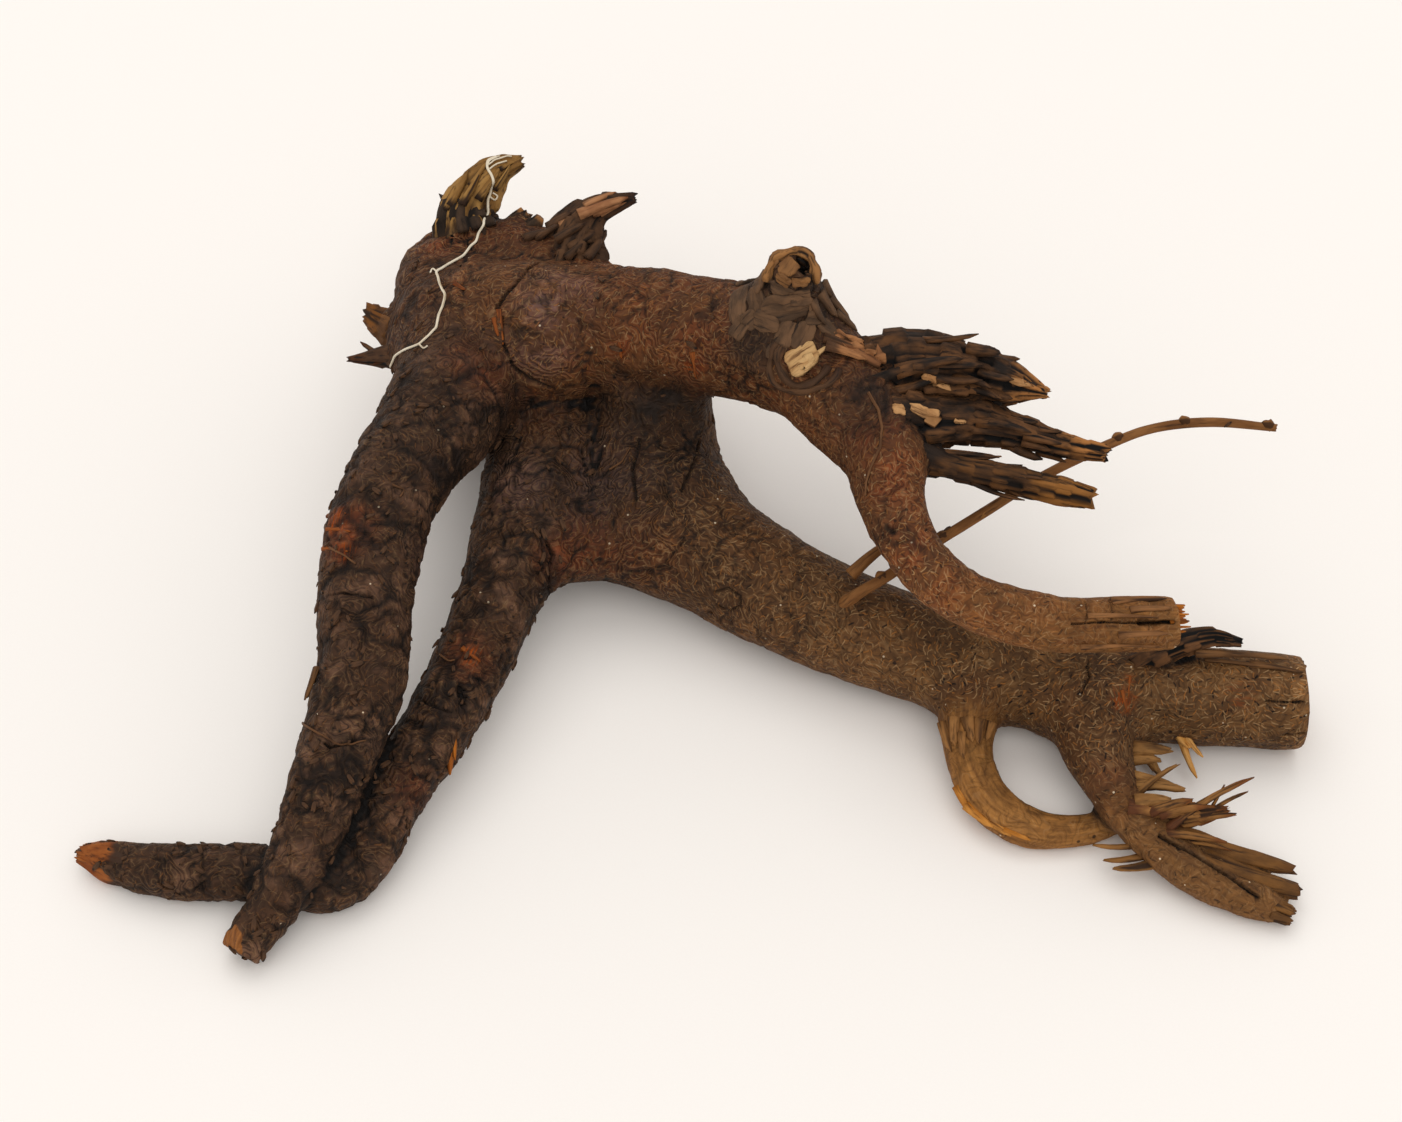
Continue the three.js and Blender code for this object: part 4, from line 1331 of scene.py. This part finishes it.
slab_wood = torn_wood("slab_wood", UMBER, colour(120, 80, 54), colour(164, 116, 80),
                      foot=colour(84, 58, 40), foot_to=0.3)
SLAB_STRIPS = [((824, 338), (870, 354), 4.0, 2.0), ((826, 346), (866, 362), 3.6, 2.0)]
SLAB_SCALES = [(858, 351, 13.5, 4.6, -24, 3.2), (846, 343, 9.0, 3.2, -28, 4.0),
               (872, 357, 6.0, 4.4, -20, 3.8)]
slab = Shape()
surface_strips(slab, SLAB_STRIPS, 71, 0.6)
for number, scale in enumerate(SLAB_SCALES):
    bark_scale(slab, *scale, 75 + number)
slab.finish("bark_slab", slab_wood, "fresh_break")

# Chips and fine roots: a few flakes of sound tan wood show between the fan's burnt splinters,
# and thin brown root fibres cling to the bend of the upper stem, to the legs and to the neck.
FAN_CHIPS = [
    (930, 377, 4.2, 2.4, -15), (942, 386, 5.6, 1.6, -30), (924, 412, 8.6, 3.4, -22),
    (899, 410, 4.0, 2.8, 10), (960, 421, 3.0, 1.6, -10), (1022, 382, 7.0, 2.2, -20)]
chip_wood = torn_wood("chip_wood", colour(84, 56, 36), colour(160, 116, 78), colour(196, 152, 108))
fan_chips = Shape()
for number, scale in enumerate(FAN_CHIPS):
    bark_scale(fan_chips, *scale, CHIP_LIFT, 80 + number)
fan_chips.finish("fan_chips", chip_wood, "fresh_break")
root_fibre = torn_wood("root_fibre", colour(54, 36, 24), colour(88, 60, 40), colour(116, 82, 56))
STEM_ROOTLET = [(868, 393), (878, 410), (882, 428), (880, 448), (871, 468), (867, 482), (866, 496)]
LEG_ROOTLETS = [
    [(300, 722), (318, 733), (336, 743), (352, 745), (366, 740)], [(330, 548), (345, 556), (356, 564)],
    [(392, 485), (404, 490), (400, 497)], [(440, 655), (449, 661), (455, 660)],
    [(610, 470), (622, 462), (630, 448)]]
fine_roots = Shape()
fine_roots.strand(traced(STEM_ROOTLET, 0.5 * MM, 6), 0.9 * MM, 0.6 * MM)
for number, pixels in enumerate(LEG_ROOTLETS):
    fine_roots.strand(traced(pixels, 0.5 * MM, 6), 0.7 * MM, 0.35 * MM, count=6, seed=number)
fine_roots.finish("fine_roots", root_fibre, "bare_wood")

# Slivers in the creases: thin strips of red-brown sapwood that show where the bark has split, on the
# crown, the legs and the stems. They are torn from the wood below and still joined to it.
CREASE_SLIVERS = [
    ((499, 310), (502, 344), 2.6, 0.6), ((494, 318), (498, 336), 1.8, 0.4),
    ((693, 352), (697, 378), 2.0, 0.5), ((619, 342), (622, 358), 1.6, 0.4),
    ((326, 516), (346, 514), 2.2, 0.5), ((328, 528), (350, 532), 2.6, 0.5),
    ((324, 548), (348, 552), 2.4, 0.6), ((462, 648), (480, 662), 2.2, 0.5),
    ((1122, 690), (1127, 712), 1.6, 0.3), ((1130, 676), (1128, 698), 1.2, 0.3),
    ((455, 283), (466, 290), 1.8, 0.4)]
sapwood = torn_wood("sapwood", colour(70, 38, 22), colour(116, 62, 34), colour(150, 88, 50))
strip_piece("crease_slivers", CREASE_SLIVERS, sapwood, "fresh_break", seed=260, thick=0.4)

# The end of the upper stem: snapped off and split along its length, its upper half frayed to orange
# fibres, with long strips of its brown bark lifting beside the split.
fringe_wood = torn_wood("fringe_wood", colour(92, 48, 22), TORN_ORANGE, colour(186, 116, 58))
fringe_random = random.Random(9)
stem_end = ways["upperStem"]
end_place, end_up, end_side, end_ahead = (
    Vector(rows[-1]) for rows in (stem_end.places, stem_end.ups, stem_end.sides, stem_end.tangents))
stem_fringe = Shape()
for number in range(16):
    turn = fringe_random.uniform(-1.3, 1.3)
    reach = float(stem_end.radii[-1]) * fringe_random.uniform(0.45, 0.9)
    base = end_place + reach * (math.cos(turn) * end_up + math.sin(turn) * end_side)
    tip = base + end_ahead * fringe_random.uniform(3, 7) * MM
    stem_fringe.splinter(base - 6 * MM * end_ahead, tip, fringe_random.uniform(1.2, 2.4) * MM, seed=number)
stem_fringe.finish("stem_fringe", fringe_wood, "fresh_break")
END_STRIPS = [
    ((1112, 602), (1166, 600), 4.0, 1.0), ((1130, 610), (1171, 609), 3.6, 1.0),
    ((1088, 616), (1158, 618), 2.4, 0.5), ((1118, 634), (1168, 633), 3.6, 0.8),
    ((1080, 645), (1164, 646), 3.0, 0.7)]
end_bark = torn_wood("end_bark", colour(58, 38, 25), colour(112, 77, 50), colour(146, 103, 68))
strip_piece("stem_end_strips", END_STRIPS, end_bark, "bark", seed=310, thick=0.3)

# Bark strips: three strips of bark that have lifted from the top edge of the main stem near its sawn
# end, and one loose flake on the outside of the front leg. Each still hangs on by one end.
strip_bark = torn_wood("strip_bark", UMBER, colour(86, 60, 39), colour(116, 82, 53))
bark_strips = Shape()
STRIPS = [((1195, 652), (1288, 664), 3.6, 3.0), ((1250, 664), (1302, 674), 3.0, 1.5),
          ((1205, 660), (1262, 668), 3.0, 1.0)]
surface_strips(bark_strips, STRIPS, 90, 0.45)
flake_top, flake_out = seen(319, 668)
flake_low, _ = seen(316, 700)
flake_low = flake_low + Vector((-0.006, 0, 0))
bark_strips.splinter(flake_top + 1 * MM * flake_out, flake_low, 2.6 * MM, thick=0.5, seed=95)
bark_strips.finish("bark_strips", strip_bark, "bark")

# Hooked root: a bare ochre root that loops under the main stem. Torn folds of wood lie round its foot,
# and a strip has peeled off along its outer edge, showing orange wood.
hook_bark = torn_wood("hook_bark", colour(66, 43, 26), colour(122, 85, 51), colour(158, 114, 72))
HOOK_STRIPS = [
    ((944, 722), (952, 752), 4.2, 0.5), ((955, 717), (956, 746), 4.6, 0.8),
    ((967, 717), (972, 742), 5.0, 1.0), ((979, 719), (978, 744), 4.6, 0.8),
    ((990, 722), (985, 740), 3.8, 0.6), ((962, 732), (964, 758), 3.4, 0.4)]
strip_piece("hook_collar", HOOK_STRIPS, hook_bark, "bare_wood", seed=40)
peeled_wood = torn_wood("peeled_wood", colour(98, 60, 32), colour(170, 110, 56), colour(206, 146, 84))
PEELED_STRIPS = [
    ((957, 786), (976, 814), 3.2, 2.2), ((968, 804), (994, 825), 3.8, 2.2),
    ((984, 818), (1012, 834), 3.2, 1.8), ((1004, 829), (1030, 839), 2.6, 1.2)]
strip_piece("peeled_strip", PEELED_STRIPS, peeled_wood, "fresh_break", seed=45)

# Torn roots under the main stem: slivers, a forked pale splinter, a forked twig and torn plates,
# left where small roots were pulled away from the finger root and the stem. One more stands on the leg.
def level_with(place, across, down, nearer=0.0):
    """The point at a pixel that is as deep in the view as a place, or nearer by some millimetres."""
    axis = (VIEW_TARGET - view_from).normalized()
    ray = sight(across, down)
    return view_from + ray * ((place - view_from).dot(axis) - nearer * MM) / ray.dot(axis)


def torn_slivers(shape, slivers, seed, thick=0.55, end=0.12):
    """Slivers from a pixel on the wood to a pixel beside it, each with a width in millimetres."""
    for number, (foot, head, width) in enumerate(slivers):
        base, out = seen(*foot)
        tip = level_with(base, *head, nearer=2)
        tip.z = max(tip.z, 2 * MM)
        shape.splinter(base - 2 * MM * out, tip, width * MM, thick, seed + number, bend=0.04, end=end)


def sliver_piece(name, slivers, wood, slot, seed, **look):
    """Slivers that stand off the wood as a piece of their own."""
    shape = Shape()
    torn_slivers(shape, slivers, seed, **look)
    shape.finish(name, wood, slot)


PALE_SLIVERS = [((1181, 738), (1197, 778), 2.6), ((1186, 738), (1203, 757), 2.2),
                ((1179, 738), (1190, 748), 3.4)]
pale_sliver_wood = torn_wood("pale_splinter_wood", colour(140, 84, 40), colour(196, 140, 80),
                             colour(222, 176, 116))
sliver_piece("pale_splinter", PALE_SLIVERS, pale_sliver_wood, "fresh_break", seed=110)
TORN_PLATES = [
    ((1134, 748), (1170, 750), 7.0), ((1142, 746), (1160, 774), 5.5), ((1136, 756), (1158, 760), 6.0),
    ((1136, 774), (1176, 786), 4.6), ((1138, 784), (1186, 790), 5.6), ((1140, 792), (1178, 764), 2.6),
    ((1136, 800), (1170, 800), 6.0)]
torn_plate_wood = torn_wood("torn_plate_wood", colour(58, 39, 24), colour(122, 86, 52), colour(158, 117, 74))
sliver_piece("torn_plates", TORN_PLATES, torn_plate_wood, "bare_wood", seed=120, thick=0.4, end=0.7)
TWIG_FORKS = [
    ((1168, 828), (1252, 778), 3.6), ((1215, 805), (1247, 792), 1.6), ((1212, 803), (1224, 786), 1.4),
    ((1180, 826), (1236, 814), 3.4), ((1160, 812), (1206, 806), 4.2), ((1165, 835), (1226, 842), 3.0),
    ((1150, 815), (1192, 800), 4.6), ((1185, 838), (1230, 850), 2.2)]
sliver_piece("forked_twig", TWIG_FORKS, broken_wood, "fresh_break", seed=140, thick=0.6, end=0.5)
LOW_SLIVERS = [((1130, 850), (1094, 845), 2.6), ((1140, 860), (1104, 860), 3.0),
               ((1150, 866), (1112, 868), 3.6)]
low_sliver_wood = torn_wood("low_sliver_wood", UMBER, colour(108, 75, 45), colour(148, 106, 64))
sliver_piece("low_slivers", LOW_SLIVERS, low_sliver_wood, "bare_wood", seed=150, end=0.6)
LEG_SLIVERS = [((456, 729), (450, 775), 3.2), ((457, 736), (455, 760), 2.4)]
sliver_piece("leg_splinter", LEG_SLIVERS, fringe_wood, "fresh_break", seed=160)

# Toe: the end of the middle leg, torn off to a blunt point of orange fibres.
# It is the same wood with its bark gone, and the torn fibres are still joined to the leg.
tip_wood = torn_wood("tip_wood", colour(62, 34, 20), colour(124, 68, 38), colour(164, 102, 60),
                     foot=colour(62, 44, 33), foot_to=0.3)
TOE_TIP = [[-299, -180.5, 12, 11.6], [-308, -178.4, 12.4, 10.4], [-316, -176.4, 13, 8.2],
           [-324, -174.5, 13.6, 5]]
toe_tip = Shape()
toe_tip.limb(TOE_TIP, seed=174, count=26, ridge=0.3, ragged=7 * MM)
TOE_SPLINTERS = 9
for number in range(TOE_SPLINTERS):
    turn = 2 * math.pi * number / TOE_SPLINTERS
    aside, above, reach = math.cos(turn), math.sin(turn), math.sin(5 * number)
    base = Vector((-0.311, -0.1775 + 0.007 * aside, 0.0125 + 0.007 * above))
    tip = Vector((-0.325 - 0.003 * reach, -0.1745 + 0.004 * aside, 0.0135 + 0.004 * above))
    toe_tip.splinter(base, tip, 2.8 * MM, seed=180 + number)
toe_tip.finish("toe_tip", tip_wood, "fresh_break")

# Second prong of the thin root: a short side shoot beside its foot, of the same smooth brown wood.
# It grows out of the main stem and is broken off short.
PRONG_PIXELS = [(850, 575), (866, 560), (884, 546)]
PRONG_GIRTHS = (4, 3.2, 2.4)
prong_foot = Vector(ways["thinRoot"].places[3])
prong_places = [level_with(prong_foot, *pixel) for pixel in PRONG_PIXELS]
limb_piece("thin_prong", stations_of(prong_places, PRONG_GIRTHS), twig_wood, "bare_wood",
           seed=55, count=12, ridge=0.12, ragged=2 * MM)

# Bark flakes: small scales of loose dry bark that stand off the crown and the legs.
# They are one flake, scattered over the rougher bark, turned along its grain and sunk in it at one edge.
FLAKE_SIZE = (3.4 * MM, 2.2 * MM, 0.7 * MM)
flake_shape = Shape()
flake_shape.lump((0, 0, 0.4 * MM), (1, 0, 0.1), (0, 0, 1), FLAKE_SIZE, seed=1, edge=0.5, rings=5, count=6)
flake = put("bark_flake", flake_shape.mesh("bark_flake"))
flake_bark = torn_wood("flake_bark", SOOT, colour(64, 46, 34), colour(98, 68, 46))

scatter, given, result = geometry_tree("bark_flakes", [
    ("Flake", "Object"), ("Density", "Float"), ("Smallest", "Float"), ("Largest", "Float"), ("Seed", "Int"),
    ("Finish", "Material")])
density = times(scatter, named(scatter, "flaky"), given["Density"])
spread = add(scatter, "GeometryNodeDistributePointsOnFaces", {
    "Mesh": given["Mesh"], "Density": density, "Seed": given["Seed"]}, distribute_method="RANDOM").outputs
lie_along = add(scatter, "FunctionNodeAlignRotationToVector", {
    "Rotation": spread["Rotation"], "Vector": named(scatter, "grain_way", "FLOAT_VECTOR")}, axis="X",
    pivot_axis="Z").outputs[0]
turned = add(scatter, "FunctionNodeRandomValue", {
    0: (-0.2, -0.22, -1.2), 1: (0.2, 0.06, 1.2), "Seed": given["Seed"]}, data_type="FLOAT_VECTOR").outputs[0]
turned = add(scatter, "FunctionNodeEulerToRotation", {0: turned}).outputs[0]
lie_along = add(scatter, "FunctionNodeRotateRotation", {0: lie_along, 1: turned},
                rotation_space="LOCAL").outputs[0]
size = add(scatter, "FunctionNodeRandomValue", {
    2: given["Smallest"], 3: given["Largest"], "Seed": given["Seed"]}, data_type="FLOAT").outputs[1]
flake_in = add(scatter, "GeometryNodeObjectInfo", {"Object": given["Flake"]}).outputs["Geometry"]
placed = add(scatter, "GeometryNodeInstanceOnPoints", {
    "Points": spread["Points"], "Instance": flake_in, "Rotation": lie_along, "Scale": size}).outputs[0]
end_tree(scatter, placed, given, result)

flaky = np.clip(leg_bark * 0.7 + 0.3 - smooth_bark, 0, 1) * (outward[:, 2] > -0.4)
set_values(wood_mesh, "flaky", flaky)
flake_field = put("bark_flakes", wood_mesh)
bark_flakes = put("loose_bark_flakes", run_tree(flake_field, scatter, {
    "Flake": flake, "Density": 5200.0, "Smallest": 0.5, "Largest": 1.3, "Seed": 7, "Finish": flake_bark}))
bpy.data.objects.remove(flake_field)
bpy.data.objects.remove(flake)
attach(bark_flakes, "root")

# Pale rootlet: one dry off-white root fibre that lies loose over the crown, from the tip of the horn
# down to the left thorns, with small curls on the way and a frayed patch at the horn.
ROOTLET_WAY = [
    (497, 158), (489, 161), (486, 166), (492, 176), (493, 187), (488, 200), (488, 214), (482, 226),
    (476, 242), (463, 257), (448, 266), (437, 273), (440, 284), (446, 296), (444, 306), (440, 316),
    (437, 328), (430, 336), (420, 345), (405, 351), (397, 356), (392, 366)]
rootlet_fibre = torn_wood("rootlet_fibre", colour(168, 146, 116), colour(222, 208, 184),
                          colour(238, 228, 208))
pale_rootlet = Shape()
pale_rootlet.strand(traced(ROOTLET_WAY, 1.0 * MM, 7), 0.85 * MM, 0.7 * MM, count=8)
ROOTLET_CURLS = [
    [(490, 197), (494, 200), (496, 196), (493, 193)], [(437, 273), (433, 270), (431, 274)],
    [(420, 345), (424, 349), (428, 347)], [(488, 166), (495, 161), (503, 158), (512, 157)],
    [(490, 170), (498, 164), (507, 161)], [(487, 164), (493, 160), (500, 157)]]
for number, pixels in enumerate(ROOTLET_CURLS):
    pale_rootlet.strand(traced(pixels, 1.0 * MM, 4), 0.55 * MM, 0.35 * MM, count=6, seed=number)
pale_rootlet = pale_rootlet.finish("pale_rootlet_fibre", rootlet_fibre, "pale_rootlet")
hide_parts("pale_rootlet")

# The table: a plain pale warm white sheet that fills the view, under two soft lamps, one from behind
# and one from in front, and an even room light, so that shadows stay soft and hug the lower edges.
TABLE_SIZE = 30.0
ROOM_LIGHT = 0.74
LAMP_SPREAD = math.radians(50)
LAMP_COLOUR = (1.0, 0.985, 0.965)
LAMPS = {"back_lamp": ((0.15, -0.45, -1.0), 0.5), "front_lamp": ((-0.1, 0.6, -1.0), 0.6)}
TABLE_PALE = colour(253, 249, 244)
TABLE_SPECK = colour(250, 245, 240)

table_mesh = bpy.data.meshes.new("table_top")
half = TABLE_SIZE / 2
table_mesh.from_pydata([(-half, -half, 0), (half, -half, 0), (half, half, 0), (-half, half, 0)], [],
                       [(0, 1, 2, 3)])
table = put("table_top", table_mesh)
table_white, tree, shader = material_tree("table_white")
speckle = noise_of(tree, add(tree, "ShaderNodeTexCoord").outputs["Object"], 900.0, 2.0)[0]
tree.links.new(mix(tree, speckle, TABLE_SPECK, TABLE_PALE), shader.inputs["Base Color"])
shader.inputs["Roughness"].default_value = 0.9
shader.inputs["Specular IOR Level"].default_value = 0.1
table_mesh.materials.append(table_white)

world = bpy.data.worlds.new("room")
world.use_nodes = True
world.node_tree.nodes["Background"].inputs["Color"].default_value = colour(255, 253, 251)
world.node_tree.nodes["Background"].inputs["Strength"].default_value = ROOM_LIGHT
bpy.context.scene.world = world
for name, (direction, strength) in LAMPS.items():
    lamp_data = bpy.data.lights.new(name, "SUN")
    lamp_data.energy = strength
    lamp_data.angle = LAMP_SPREAD
    lamp_data.color = LAMP_COLOUR
    lamp = bpy.data.objects.new(name, lamp_data)
    lamp.rotation_euler = Vector(direction).to_track_quat("-Z", "Y").to_euler()
    bpy.context.scene.collection.objects.link(lamp)
bpy.context.scene.view_settings.view_transform = "Standard"
